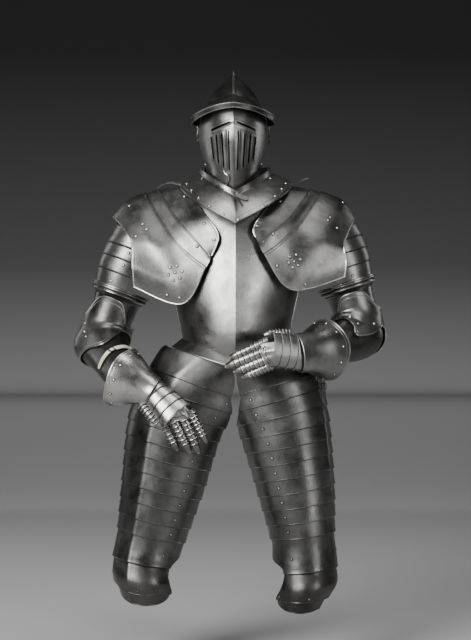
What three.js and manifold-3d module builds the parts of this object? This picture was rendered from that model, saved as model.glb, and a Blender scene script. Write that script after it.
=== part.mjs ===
// A three-quarter suit of plate armour of about 1620: close helmet, gorget, cuirass, pauldrons, arms,
// gauntlets and knee-length tassets with poleyns, hollow and posed as if worn.
// Millimetres, +Z up, the suit faces -Y and the wearer's left is +X.
// The origin is between the wearer's shoulders, at the base of the neck.
import * as THREE from "three";
import { mergeVertices } from "three/addons/utils/BufferGeometryUtils.js";
import Module from "manifold-3d";

const wasm = await Module();
wasm.setup();

// ---------------------------------------------------------------- driving sizes
const WALL = 1.6; // thickness of every plate
const STEP = 2.4; // how far a plate that overlaps another stands off it
const DEG = Math.PI / 180;

const STEEL = { color: 0x4a4a4c, roughness: 0.32, metalness: 1 };
const BRIGHT = { color: 0x8b8a86, roughness: 0.28, metalness: 1 };

// ---------------------------------------------------------------- small helpers
const { lerp, clamp } = THREE.MathUtils;
const vec = (x, y, z) => new THREE.Vector3(x, y, z);
const constant = (value) => () => value;
const range = (count) => Array.from({ length: count }, (_, i) => i);
const ramp = (from, to, value) => THREE.MathUtils.smoothstep(value, from, to);
const fade = (distance, width) => Math.exp(-Math.abs(distance) / width);
const bump = (distance, width) => Math.exp(-((distance / width) ** 2));

// The point at t on a curve through points, one point per unit of t (Catmull-Rom).
function through(points, t) {
  const last = points.length - 1;
  const i = clamp(Math.floor(t), 0, last - 1);
  const at = (k) => points[clamp(k, 0, last)];
  const [a, b, c, d] = [at(i - 1), at(i), at(i + 1), at(i + 2)];
  const f = t - i;
  const mix = (p, q, r, s) =>
    q + 0.5 * f * (r - p + f * (2 * p - 5 * q + 4 * r - s + f * (3 * (q - r) + s - p)));
  return vec(mix(a.x, b.x, c.x, d.x), mix(a.y, b.y, c.y, d.y), mix(a.z, b.z, c.z, d.z));
}

// Reads a table whose first column is the key: returns key -> { column: value }, smooth between its rows.
function table(columns, rows) {
  const slope = (i, c) => {
    const [lo, hi] = [rows[Math.max(i - 1, 0)], rows[Math.min(i + 1, rows.length - 1)]];
    return (hi[c] - lo[c]) / (hi[0] - lo[0]);
  };
  return (key) => {
    let i = 0;
    while (i < rows.length - 2 && key > rows[i + 1][0]) i++;
    const span = rows[i + 1][0] - rows[i][0];
    const f = clamp((key - rows[i][0]) / span, 0, 1);
    const found = {};
    columns.forEach((name, c) => {
      const [p, q] = [rows[i][c], rows[i + 1][c]];
      const [m, n] = [slope(i, c) * span, slope(i + 1, c) * span];
      found[name] = p + f * (m + f * (3 * (q - p) - 2 * m - n + f * (2 * (p - q) + m + n)));
    });
    return found;
  };
}

// ---------------------------------------------------------------- plates
const steps = (count) => (Array.isArray(count) ? count : range(count + 1).map((i) => i / count));

// A closed wall on the surface form(u, v). cols and rows are counts or lists of u and v. ring joins u = 1 to
// u = 0, pole draws row 0 to one point, and lift(u, v) moves the plate out along the surface's normal.
function plate(form, { cols, rows, wall = WALL, ring = false, pole = false, lift = 0, out = 0 }) {
  const us = ring ? steps(cols).slice(0, -1) : steps(cols);
  const vs = steps(rows);
  const rise = typeof lift === "function" ? lift : constant(lift);
  const h = 1e-3;
  const inside = (t) => clamp(t, 0, 1);
  const normal = (u, v) => {
    const [u0, u1] = ring ? [u - h, u + h] : [inside(u - h), inside(u + h)];
    const across = form(u1, v).sub(form(u0, v));
    const along = form(u, inside(v + h)).sub(form(u, inside(v - h)));
    return across.cross(along).normalize();
  };
  const cells = vs.flatMap((v, j) =>
    us.map((u) => {
      if (!(pole && j === 0)) return { p: form(u, v), n: normal(u, v), u, v };
      const n = vec(0, 0, 0);
      us.forEach((w) => n.add(normal(w, 0.02)));
      return { p: form(0, 0), n: n.normalize(), u: 0, v: 0 };
    })
  );
  const centre = vec(0, 0, 0);
  cells.forEach(({ p }) => centre.addScaledVector(p, 1 / cells.length));
  const sum = cells.reduce((total, { p, n }) => total + n.dot(p.clone().sub(centre)), 0);
  const sign = out || Math.sign(sum);
  const positions = [];
  for (const inner of [0, wall])
    for (const { p, n, u, v } of cells)
      positions.push(...p.clone().addScaledVector(n, sign * (rise(u, v) - inner)).toArray());

  const [nu, nv] = [us.length, vs.length];
  const id = (i, j, layer) => layer * nu * nv + j * nu + (i % nu);
  const faces = [];
  const quad = (a, b, c, d) => faces.push(a, b, c, a, c, d);
  const spans = ring ? nu : nu - 1;
  for (let j = 0; j < nv - 1; j++)
    for (let i = 0; i < spans; i++) {
      quad(id(i, j, 0), id(i + 1, j, 0), id(i + 1, j + 1, 0), id(i, j + 1, 0));
      quad(id(i + 1, j + 1, 1), id(i + 1, j, 1), id(i, j, 1), id(i, j + 1, 1));
    }
  for (let i = 0; i < spans; i++) {
    if (!pole) quad(id(i, 0, 1), id(i + 1, 0, 1), id(i + 1, 0, 0), id(i, 0, 0));
    quad(id(i, nv - 1, 0), id(i + 1, nv - 1, 0), id(i + 1, nv - 1, 1), id(i, nv - 1, 1));
  }
  if (!ring)
    for (let j = 0; j < nv - 1; j++) {
      quad(id(0, j, 0), id(0, j + 1, 0), id(0, j + 1, 1), id(0, j, 1));
      quad(id(nu - 1, j, 1), id(nu - 1, j + 1, 1), id(nu - 1, j + 1, 0), id(nu - 1, j, 0));
    }
  const geometry = new THREE.BufferGeometry();
  geometry.setAttribute("position", new THREE.Float32BufferAttribute(positions, 3));
  geometry.setIndex(sign > 0 ? faces : faces.reverse());
  return geometry;
}

// ---------------------------------------------------------------- booleans
function solid(geometry) {
  const bare = geometry.clone();
  bare.deleteAttribute("normal");
  bare.deleteAttribute("uv");
  const merged = mergeVertices(bare, 1e-3);
  const vertProperties = new Float32Array(merged.attributes.position.array);
  const corners = [...merged.index.array];
  const same = (i) => new Set(corners.slice(i, i + 3)).size < 3;
  const kept = corners.filter((_, k) => !same(k - (k % 3)));
  return new wasm.Manifold(new wasm.Mesh({ numProp: 3, vertProperties, triVerts: new Uint32Array(kept) }));
}

function geometryOf(made) {
  const { vertProperties, triVerts } = made.getMesh();
  const geometry = new THREE.BufferGeometry();
  geometry.setAttribute("position", new THREE.Float32BufferAttribute(vertProperties, 3));
  geometry.setIndex([...triVerts]);
  return geometry;
}

const cutAway = (geometry, cutters) =>
  geometryOf(cutters.reduce((left, cutter) => left.subtract(solid(cutter)), solid(geometry)));
const joined = (geometries) =>
  geometryOf(geometries.map(solid).reduce((whole, piece) => whole.add(piece)));

// ---------------------------------------------------------------- scene graph
const suit = new THREE.Group();
function group(name, x = 0, y = 0, z = 0) {
  const made = new THREE.Group();
  made.name = name;
  made.position.set(x, y, z);
  suit.add(made);
  return made;
}
function add(parent, name, geometry, finish = STEEL) {
  const mesh = new THREE.Mesh(geometry, new THREE.MeshStandardMaterial(finish));
  mesh.name = name;
  parent.add(mesh);
}

// ---------------------------------------------------------------- helmet
// Its own frame is at the pivots of the peak and visor, which turn about X. The skull is a spheroid about
// that axis, so both swing round it without touching.
const PIVOT = { x: -5, y: 5, z: 150, radius: 7, reach: 92 };
const SKULL = { half: 83, radius: 145, brow: 18, nape: -24, side: -40, spike: 32 };
const helmet = group("helmet", PIVOT.x, PIVOT.y, PIVOT.z);

// A point of the skull's spheroid: turn is measured from the front, and tilt up from level.
function skullPoint(turn, tilt, lift = 0) {
  const dir = vec(Math.sin(turn) * Math.cos(tilt), -Math.cos(turn) * Math.cos(tilt), Math.sin(tilt));
  const across = dir.x / (SKULL.half + lift);
  const around = Math.hypot(dir.y, dir.z) / (SKULL.radius + lift);
  return dir.multiplyScalar(1 / Math.hypot(across, around));
}

function skullForm(u, v) {
  const turn = (u * 360 - 180) * DEG;
  const front = ramp(0.15, 0.62, Math.cos(turn));
  const back = ramp(0.1, 0.9, -Math.cos(turn));
  const edge = lerp(lerp(SKULL.side, SKULL.nape, back), SKULL.brow, front);
  const tilt = lerp(90, edge, v) * DEG;
  const p = skullPoint(turn, tilt);
  const tuck = back * ramp(0, 40 * DEG, -tilt); // the nape draws in to the neck
  p.y *= 1 - 0.17 * tuck;
  p.x *= 1 - 0.16 * ramp(-8 * DEG, 28 * DEG, -tilt);
  const crest = 3.5 * fade(p.x, 4);
  const point = 12 * fade(90 * DEG - tilt, 16 * DEG) + (SKULL.spike - 12) * fade(90 * DEG - tilt, 2.2 * DEG);
  p.z += point;
  return p.addScaledVector(p.clone().setX(0).normalize(), crest * (1 - fade(90 * DEG - tilt, 9 * DEG)));
}

const stud = (side, radius, from, to) =>
  new THREE.CylinderGeometry(radius, radius, to - from, 10)
    .rotateZ(90 * DEG)
    .translate((side * (from + to)) / 2, 0, 0);

const skullRows = [0, 0.025, 0.09, 0.22, 0.38, 0.55, 0.72, 0.86, 1];
const skull = plate(skullForm, { cols: 20, rows: skullRows, ring: true, pole: true });
const pivotStuds = [-1, 1].map((side) => stud(side, PIVOT.radius, SKULL.half - 3, PIVOT.reach));
add(helmet, "helmet_skull", joined([skull, ...pivotStuds]));

// The face is a prow: level sections between the temples, keyed by the height over the pivots.
const faceSection = table(
  ["height", "half", "front", "prow"],
  [
    [-150, 66, 92, 8],
    [-130, 68, 101, 11],
    [-80, 71, 122, 16],
    [-40, 80, 138, 15],
    [0, 86.5, 149, 11],
    [35, 86.5, 146.5, 8],
    [60, 82, 138.5, 5],
    [85, 74, 125, 2],
  ]
);
function facePoint(turn, height) {
  const { half, front, prow } = faceSection(height);
  const x = half * Math.sin(turn);
  return vec(x, -front * Math.cos(turn) - prow * fade(x, 22) * Math.max(Math.cos(turn), 0), height);
}

const VISOR = { turn: 99, top: 74, chin: -124, rise: 83 };
const visorLow = (turn) => VISOR.chin + VISOR.rise * Math.abs(turn / (77 * DEG)) ** 1.15;
function visorForm(u, v) {
  const turn = lerp(-VISOR.turn, VISOR.turn, u) * DEG;
  const behind = ramp(74 * DEG, 99 * DEG, Math.abs(turn));
  const low = lerp(Math.min(visorLow(turn), -24), -15, behind);
  const high = lerp(VISOR.top, 15, ramp(52 * DEG, 90 * DEG, Math.abs(turn)));
  return facePoint(turn, lerp(low, high, v));
}

// Slots of the visor: a sight each side of the prow, and under them four breaths a side.
const SIGHT = { from: 7, to: 55, height: 4.6, lift: 27, fall: 0.36 };
const BREATHS = [
  { x: 11, top: 5, bottom: -87, width: 3.6 },
  { x: 26, top: 1, bottom: -80, width: 3.6 },
  { x: 39, top: -1, bottom: -69, width: 3.4 },
  { x: 51, top: -5, bottom: -58, width: 3.2 },
];
const bar = (width, height, side, x, z, roll) =>
  new THREE.BoxGeometry(width, 160, height).rotateY(side * roll).translate(side * x, -120, z);
const visorSlots = [-1, 1].flatMap((side) => [
  bar(SIGHT.to - SIGHT.from, SIGHT.height, side, (SIGHT.from + SIGHT.to) / 2, SIGHT.lift - 8, SIGHT.fall),
  ...BREATHS.map(({ x, top, bottom, width }) =>
    bar(width, top - bottom, side, x, (top + bottom) / 2, 0.0022 * x)
  ),
]);
const pivotHoles = [-1, 1].map((side) => stud(side, PIVOT.radius + 1.5, 60, 130));
const visor = plate(visorForm, { cols: 18, rows: 6 });
add(helmet, "helmet_visor", cutAway(visor, [...visorSlots, ...pivotHoles]));

// The bevor closes the chin and neck under the visor, and reaches round the sides behind the pivots.
function bevorForm(u, v) {
  const turn = lerp(-104, 104, u) * DEG;
  const side = Math.abs(turn) / (90 * DEG);
  const back = ramp(86 * DEG, 104 * DEG, Math.abs(turn));
  const high = lerp(Math.min(visorLow(turn) + 11, -13), -66, back);
  const low = lerp(-150, -84, ramp(0, 1.25, side));
  const height = lerp(high, low, v);
  const p = facePoint(turn, height);
  const shrink = 1 - 3.9 / Math.hypot(p.x, p.y);
  return vec(p.x * shrink, p.y * shrink, height);
}
add(helmet, "helmet_bevor", plate(bevorForm, { cols: 20, rows: 3 }));

// The peak is a brim over the brow. It lies on the visor's top, and its arms reach back to the pivots.
const PEAK = { turn: 98, inner: 37, outer: 25, flare: 27, lie: 7.3 };
function peakForm(u, v) {
  const turn = lerp(-PEAK.turn, PEAK.turn, u) * DEG;
  const aside = ramp(50 * DEG, 95 * DEG, Math.abs(turn));
  const inner = lerp(PEAK.inner, 36, aside) * DEG;
  const arm = ramp(80 * DEG, 92 * DEG, Math.abs(turn));
  const outer = lerp(lerp(PEAK.outer, 27, aside), -8, arm) * DEG;
  const close = ramp(66 * DEG, 81 * DEG, Math.abs(turn)); // the brim closes in before its arms turn down
  const flare = lerp(lerp(PEAK.flare, 13, aside), 0.3, close) * v ** 1.3;
  const p = skullPoint(turn, lerp(inner, outer, v), PEAK.lie + 3 * aside * (1 - arm));
  const level = vec(Math.sin(turn), -Math.cos(turn), 0);
  const ridge = 4 * fade(p.x, 12) * (1 - 0.6 * v);
  return p.addScaledVector(level, flare).add(vec(0, -0.4 * ridge, ridge));
}
const peak = plate(peakForm, { cols: 22, rows: 3 });
add(helmet, "helmet_peak", cutAway(peak, pivotHoles));

// The hook that holds the visor down, on the wearer's right of the chin.
const hookPath = new THREE.CatmullRomCurve3([
  vec(-30, -131, -104),
  vec(-24, -137, -99),
  vec(-18, -142, -107),
  vec(-21, -139, -119),
  vec(-29, -128, -122),
]);
const hookOutline = new THREE.Shape().absarc(0, 0, 1.6, 0, 2 * Math.PI);
const hookSize = { steps: 10, extrudePath: hookPath, curveSegments: 3 };
add(helmet, "helmet_hook", new THREE.ExtrudeGeometry(hookOutline, hookSize), BRIGHT);

// ---------------------------------------------------------------- gorget
// A collar round the neck and two plates that spread from it over the shoulders.
const COLLAR = { half: 86, front: 107, back: 94, tall: 15, point: -4, side: 66, nape: 72 };
const GORGET = { half: 139, front: 160, back: 142, point: -69, side: 44, nape: -18 };
const PINCH = 0.06; // how much the collar's plan is drawn in towards the bevor, halfway between front and side
const gorget = group("gorget");
function ringPoint(size, turn, frontPower, backRise) {
  const part = Math.acos(Math.cos(turn)) / (90 * DEG);
  const depth = Math.cos(turn) > 0 ? size.front : size.back;
  const z =
    part <= 1
      ? lerp(size.point, size.side, part ** frontPower)
      : lerp(size.side, size.nape, (part - 1) ** backRise);
  return vec(size.half * Math.sin(turn), -depth * Math.cos(turn), z);
}
function gorgetForm(from, to, reach) {
  return (u, v) => {
    const turn = lerp(from, to, u) * DEG;
    const pinch = Math.cos(turn) > 0 ? 1 - PINCH * Math.sin(2 * turn) ** 2 : 1;
    const root = ringPoint({ ...COLLAR, half: COLLAR.half + reach }, turn, 0.85, 1).multiply(vec(pinch, pinch, 1));
    if (v < 0.25) {
      const up = 1 - v / 0.25;
      const rim = root.clone().multiply(vec(0.975, 0.975, 1));
      return root.lerp(rim, up).add(vec(0, 0, COLLAR.tall * up));
    }
    const w = (v - 0.25) / 0.75;
    const edge = ringPoint({ ...GORGET, half: GORGET.half + reach }, turn, 0.95, 1.3);
    const keel = 3 * fade(root.x, 10) * Math.sin(Math.PI * w);
    return root.lerp(edge, w).add(vec(0, Math.cos(turn) > 0 ? -keel : keel, 3 * Math.sin(Math.PI * w)));
  };
}
const gorgetRows = [0, 0.25, 0.5, 0.75, 1];
add(gorget, "gorget_front", plate(gorgetForm(-88, 88, 0), { cols: 18, rows: gorgetRows, lift: 3.4 }));
add(gorget, "gorget_back", plate(gorgetForm(80, 280, -3), { cols: 16, rows: gorgetRows, out: -1 }));

// ---------------------------------------------------------------- cuirass
const torsoSection = table(
  ["z", "half", "front", "back"],
  [
    [-420, 132, 140, 96],
    [-392, 132, 148, 94],
    [-345, 133, 163, 94],
    [-290, 143, 163, 102],
    [-230, 156, 154, 112],
    [-170, 166, 141, 118],
    [-100, 168, 122, 118],
    [-40, 150, 103, 108],
    [10, 120, 90, 96],
  ]
);
function torsoPoint(turn, z) {
  const { half, front, back } = torsoSection(z);
  const facing = Math.cos(turn);
  const x = half * Math.sin(turn);
  const keel = facing > 0 ? 11 * fade(x, 34) : 0;
  return vec(x, -(facing > 0 ? front : back) * facing - keel, z);
}

// Half the angle that the breastplate or backplate spans at a height, narrow between the armholes.
const spread = (z) => 36 + 14 * ramp(40, 130, -z) + 38 * ramp(120, 190, -z);
const WAIST = { point: -392, side: -345 };
const FLANGE = { out: 25, down: 20 };
function breastForm(u, v) {
  const t = 2 * u - 1;
  const w = Math.min(v / 0.9, 1);
  const narrow = lerp(-18, -345, w);
  const turn = t * spread(narrow) * DEG;
  const top = -34 + 30 * Math.abs(t) ** 1.5;
  const bottom = lerp(WAIST.point, WAIST.side, Math.abs(Math.sin(turn)) ** 1.1);
  const p = torsoPoint(turn, lerp(top, bottom, w));
  const edge = Math.max(v - 0.9, 0) / 0.1;
  const level = vec(Math.sin(turn), -Math.cos(turn), 0);
  return p.addScaledVector(level, FLANGE.out * edge).add(vec(0, 0, -FLANGE.down * edge));
}
const cuirass = group("cuirass");
const torsoRows = [0, 0.12, 0.24, 0.36, 0.48, 0.6, 0.7, 0.8, 0.9, 1];
add(cuirass, "breastplate", plate(breastForm, { cols: 20, rows: torsoRows }));

function backForm(u, v) {
  const t = 2 * u - 1;
  const w = Math.min(v / 0.9, 1);
  const turn = (180 - t * spread(lerp(6, -345, w))) * DEG;
  const top = 22 - 14 * (1 - Math.abs(t)) ** 2;
  const p = torsoPoint(turn, lerp(top, WAIST.side - 8, w));
  const edge = Math.max(v - 0.9, 0) / 0.1;
  const level = vec(Math.sin(turn), -Math.cos(turn), 0);
  return p.addScaledVector(level, FLANGE.out * edge).add(vec(0, 0, -FLANGE.down * edge));
}
const backRows = [0, 0.15, 0.3, 0.45, 0.6, 0.75, 0.9, 1];
add(cuirass, "backplate", plate(backForm, { cols: 16, rows: backRows, lift: -STEP }));

// ---------------------------------------------------------------- pauldrons
// Each section runs from the front low point over the shoulder to the back low point, from the neck outwards.
// side turns their x outwards.
const pauldronSections = {
  right: [
    [vec(57, -138, -145), vec(42, -136, -94), vec(76, -106, -42), vec(133, -8, 36), vec(96, 98, -20), vec(80, 128, -130)],
    [vec(60, -141, -151), vec(99, -124, -101), vec(139, -88, -56), vec(190, 0, 25), vec(150, 90, -34), vec(104, 122, -140)],
    [vec(70, -142, -173), vec(116, -125, -138), vec(163, -92, -88), vec(224, 4, 13), vec(184, 88, -52), vec(126, 116, -160)],
    [vec(127, -128, -260), vec(152, -128, -202), vec(208, -98, -108), vec(268, 6, -7), vec(226, 86, -86), vec(150, 108, -222)],
    [vec(246, -82, -218), vec(249, -88, -168), vec(254, -76, -104), vec(303, 6, -44), vec(268, 78, -108), vec(250, 78, -212)],
  ],
  left: [
    [vec(48, -137, -99), vec(44, -132, -76), vec(66, -112, -40), vec(130, -8, 36), vec(96, 98, -20), vec(80, 128, -130)],
    [vec(56, -140, -115), vec(90, -128, -86), vec(132, -92, -48), vec(186, 0, 26), vec(150, 90, -34), vec(104, 122, -140)],
    [vec(68, -142, -141), vec(108, -126, -112), vec(158, -88, -62), vec(212, 4, 16), vec(184, 88, -52), vec(126, 116, -160)],
    [vec(134, -128, -226), vec(160, -124, -176), vec(214, -98, -100), vec(264, 6, -5), vec(226, 86, -86), vec(150, 108, -210)],
    [vec(264, -84, -194), vec(268, -88, -158), vec(264, -78, -112), vec(294, 6, -46), vec(268, 78, -108), vec(252, 78, -200)],
  ],
};
function pauldronForm({ name, side }, from, to) {
  return (u, v) => {
    const along = pauldronSections[name].map((section) => through(section, u * 5));
    const p = through(along, lerp(from, to, v));
    return p.setX(p.x * side);
  };
}

// ---------------------------------------------------------------- arms
// An arm is two straight stretches from the shoulder to the elbow and from the elbow to the cuff, joined
// by an arc. s is measured along it from the elbow, less than 0 above it. swing turns round it: 0 faces
// out along the elbow's own axis, 90 is the elbow's point and -90 the inside of the bend.
const ELBOW_ARC = 75;
const arms = [
  {
    name: "right",
    side: -1,
    lameTop: -273,
    shoulder: vec(-226, 10, -62),
    elbow: vec(-334, 8, -352),
    cuff: vec(-271, -178, -436),
    wrist: vec(-197, -214, -468),
    knuckle: vec(-143, -246, -517),
    handBack: vec(-0.1, -0.85, 0.5),
    wide: 0,
    fingers: [
      { root: vec(-177, -236, -524), tip: vec(-139, -221, -604), radius: 10 },
      { root: vec(-153, -249, -520), tip: vec(-109, -226, -609), radius: 11 },
      { root: vec(-129, -252, -513), tip: vec(-88, -226, -611), radius: 11 },
      { root: vec(-108, -248, -512), tip: vec(-70, -226, -586), radius: 10 },
    ],
    thumb: { root: vec(-220, -258, -496), middle: vec(-203, -274, -520), tip: vec(-174, -258, -553) },
  },
  {
    name: "left",
    side: 1,
    lameTop: -267,
    shoulder: vec(230, 10, -62),
    elbow: vec(320, 12, -336),
    cuff: vec(218, -142, -372),
    wrist: vec(148, -228, -378),
    knuckle: vec(92, -258, -370),
    handBack: vec(0.3, -0.95, 0.1),
    wide: 9,
    fingers: [
      { root: vec(78, -248, -349), tip: vec(-11, -222, -389), radius: 10 },
      { root: vec(82, -258, -368), tip: vec(-20, -224, -409), radius: 11 },
      { root: vec(86, -257, -387), tip: vec(0, -223, -421), radius: 11 },
      { root: vec(89, -248, -404), tip: vec(20, -220, -434), radius: 10 },
    ],
    thumb: { root: vec(130, -208, -334), middle: vec(100, -222, -328), tip: vec(70, -214, -336) },
  },
];
for (const arm of arms) {
  const down = arm.elbow.clone().sub(arm.shoulder).normalize();
  const fore = arm.cuff.clone().sub(arm.elbow).normalize();
  const inward = fore.clone().addScaledVector(down, -down.dot(fore)).normalize();
  const hinge = down.clone().cross(inward).multiplyScalar(-arm.side);
  Object.assign(arm, { down, fore, inward, hinge, bend: down.angleTo(fore) });
}
const armSection = table(
  ["s", "half", "deep"],
  [
    [-300, 68, 74],
    [-235, 77, 84],
    [-190, 79, 79],
    [-140, 71, 70],
    [-100, 60, 60],
    [-40, 57, 58],
    [20, 56, 58],
    [80, 54, 52],
    [150, 47, 45],
    [200, 42, 40],
  ]
);
function armFrame(arm, s) {
  const lead = ELBOW_ARC * Math.tan(arm.bend / 2);
  const turned = clamp((s + lead) / (2 * lead), 0, 1) * arm.bend;
  const elbowward = arm.down
    .clone()
    .multiplyScalar(Math.sin(turned))
    .addScaledVector(arm.inward, -Math.cos(turned));
  const arcCentre = arm.elbow.clone().addScaledVector(arm.down, -lead).addScaledVector(arm.inward, ELBOW_ARC);
  const at = arcCentre.addScaledVector(elbowward, ELBOW_ARC);
  at.addScaledVector(arm.down, Math.min(s + lead, 0)).addScaledVector(arm.fore, Math.max(s - lead, 0));
  return { at, elbowward };
}
function armPoint(arm, swing, s, grow = 0) {
  const { at, elbowward } = armFrame(arm, s);
  const { half, deep } = armSection(s);
  return at
    .addScaledVector(arm.hinge, (half + grow) * Math.cos(swing))
    .addScaledVector(elbowward, (deep + grow) * Math.sin(swing));
}

// Four lames of the upper arm in one stepped wall, round the outside between the pauldron's wings.
const ARM_LAMES = { edges: [-240, -208, -173, -138], front: -78, back: 99, cut: 24 };
function armLamesForm(arm) {
  return (u, v) => {
    const swing = lerp(ARM_LAMES.front, ARM_LAMES.back - ARM_LAMES.cut * (1 - v), u) * DEG;
    const edges = [arm.lameTop, ...ARM_LAMES.edges];
    const i = Math.min(Math.floor(v * 4), 3);
    return armPoint(arm, swing, lerp(edges[i], edges[i + 1], v * 4 - i));
  };
}
const lameEdges = range(4).flatMap((i) => [(i + (i ? 0.02 : 0)) / 4, (i + 1 - (i < 3 ? 0.02 : 0)) / 4]);
const lameStep = (v) => 1.8 * ((v * 4) % 1) - 2.6;

// The upper cannon: a tube from the turning ring, which stands out as two ribs, to inside the couter.
const CANNON = { top: -137, rib: -126, bottom: -40, ribHeight: 5 };
function upperCannonForm(arm) {
  return (u, v) => {
    const s = lerp(CANNON.top, CANNON.bottom, v);
    const rib = CANNON.ribHeight * (1 - ramp(CANNON.rib, CANNON.rib + 8, s));
    return armPoint(arm, u * 360 * DEG, s, rib - 3);
  };
}

// The couter: a cup round the elbow. Its top rises to an arch on the outside, and its foot reaches far down
// the forearm in front and is cut back over the inside of the bend.
const COUTER = { arch: -56, high: -108, low: -50, swell: 17, clear: 7, tight: 1.9 };
// How much of the elbow's point a plate shows: it stands out at the outer side, a little below the bend.
const elbowPoint = (swing, s) => bump(s - 20, 34) * ramp(-0.2, 1, Math.sin(swing + 20 * DEG));
// How far down the forearm the couter's lower edge reaches, by the turn round the arm.
const couterFoot = {
  right: table(
    ["swing", "s"],
    [[-180, 46], [-150, 12], [-130, 4], [-112, 26], [-93, 68], [-72, 99], [-53, 115], [-35, 118], [-19, 108], [5, 80],
      [40, 48], [90, 30], [140, 34], [180, 46]]
  ),
  left: table(
    ["swing", "s"],
    [[-180, 50], [-150, 26], [-130, 14], [-110, 40], [-90, 68], [-68, 87], [-40, 101], [-6, 112], [8, 14], [20, 1],
      [36, 1], [50, 11], [70, 18], [90, 20], [140, 26], [180, 50]]
  ),
};
function couterForm(arm) {
  return (u, v) => {
    const swing = (u * 360 - 180) * DEG;
    const arch = ramp(0.75, 1, Math.cos((swing - COUTER.arch * DEG) / 2) ** 2);
    const top = lerp(COUTER.low, COUTER.high, arch);
    const s = lerp(top, couterFoot[arm.name](swing / DEG).s, v);
    const point = COUTER.swell * elbowPoint(swing, s);
    return armPoint(arm, swing, s, COUTER.clear + point - COUTER.tight * ramp(0.7, 1, v));
  };
}

// The lower cannon: a tube from inside the couter to inside the cuff, cut away at the inside of the bend.
const LOWER = { top: -16, fold: -10, beyond: 20, swell: 13 };
function lowerCannonForm(arm) {
  const end = arm.elbow.distanceTo(arm.cuff) + LOWER.beyond;
  return (u, v) => {
    const swing = (u * 360 - 180) * DEG;
    const inside = ramp(-0.35, 0.9, -Math.sin(swing));
    const s = lerp(lerp(LOWER.top, LOWER.fold, inside), end, v);
    return armPoint(arm, swing, s, 1 + LOWER.swell * elbowPoint(swing, s));
  };
}

// The gauntlet's cuff: a bell on its own axis, from the wide mouth over the forearm to the wrist.
const cuffSection = table(
  ["part", "half", "deep"],
  [
    [-0.1, 75, 72],
    [0, 73, 70],
    [0.3, 62, 60],
    [0.65, 46, 44],
    [1, 37, 33],
    [1.3, 37, 31],
  ]
);
function axes(from, to, back) {
  const along = to.clone().sub(from).normalize();
  const out = back.clone().addScaledVector(along, -along.dot(back)).normalize();
  return { along, out, across: along.clone().cross(out) };
}
function cuffForm(arm) {
  const { along, out, across } = axes(arm.cuff, arm.wrist, arm.handBack);
  const length = arm.cuff.distanceTo(arm.wrist);
  return (u, v) => {
    const swing = (u * 360 - 180) * DEG;
    const point = 0.02 * Math.cos(4 * swing);
    const part = lerp(-point, 1 + 0.16 * Math.cos(swing), v);
    const { half, deep } = cuffSection(part);
    return arm.cuff
      .clone()
      .addScaledVector(along, part * length)
      .addScaledVector(across, (half + arm.wide * ramp(0.4, 1, part)) * Math.sin(swing))
      .addScaledVector(out, deep * Math.cos(swing));
  };
}

// The back of the hand: lames from the wrist to the knuckles, in one stepped wall.
const HAND = { lames: 4, overlap: -7, beyond: 6 };
function handForm(arm) {
  const { along, out, across } = axes(arm.wrist, arm.knuckle, arm.handBack);
  const length = arm.wrist.distanceTo(arm.knuckle) + HAND.beyond;
  return (u, v) => {
    const swing = lerp(-96, 96, u) * DEG;
    const s = lerp(HAND.overlap, length, v);
    const half = lerp(32.5 + arm.wide, 39, v);
    return arm.wrist
      .clone()
      .addScaledVector(along, s)
      .addScaledVector(across, half * Math.sin(swing))
      .addScaledVector(out, lerp(28, 22, v) * Math.cos(swing) - 2);
  };
}
const handEdges = [0, 0.24, 0.26, 0.49, 0.51, 0.74, 0.76, 1];
const handStep = (u, v) => 1.6 * ((v * HAND.lames) % 1) - 1.4;

// A finger: a half tube of scales along a drooping curve. scales sets how many steps it has.
function fingerForm({ root, tip, middle, radius }, back, reach = 104) {
  const droop = middle ?? root.clone().lerp(tip, 0.5).addScaledVector(back, 9);
  const path = new THREE.QuadraticBezierCurve3(root, droop, tip);
  return (u, v) => {
    const swing = lerp(-reach, reach, u) * DEG;
    const { out, across } = axes(path.getPoint(Math.max(v - 0.01, 0)), path.getPoint(Math.min(v + 0.01, 1)), back);
    const size = radius * (1 - 0.22 * v) * (1 - 0.35 * ramp(0.88, 1, v));
    return path
      .getPoint(v)
      .addScaledVector(across, size * Math.sin(swing))
      .addScaledVector(out, size * Math.cos(swing));
  };
}
const FINGER_SCALES = 3;
const fingerRows = range(FINGER_SCALES).flatMap((i) => [(i + 0.03) / FINGER_SCALES, (i + 0.97) / FINGER_SCALES]);
const fingerStep = (u, v) => 1.5 * ((v * FINGER_SCALES) % 1);
const finger = (arm, shape) =>
  plate(fingerForm(shape, arm.handBack), { cols: 4, rows: fingerRows, lift: fingerStep, wall: 1.5 });

// The knuckle plate joins the four fingers: a strip over their roots, bossed at each knuckle.
function knuckleForm(arm) {
  const { out } = axes(arm.wrist, arm.knuckle, arm.handBack);
  const forms = arm.fingers.map((shape) => fingerForm(shape, arm.handBack));
  return (u, v) => {
    const t = lerp(-0.12, 3.12, u);
    const between = 1.5 * (1 - Math.cos(2 * Math.PI * t));
    return through(forms.map((form) => form(0.5, lerp(0.02, 0.2, v))), t).addScaledVector(out, 1 - between);
  };
}
const knucklePlate = (arm) => plate(knuckleForm(arm), { cols: 12, rows: 2, wall: 2.4, out: -1 });

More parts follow.
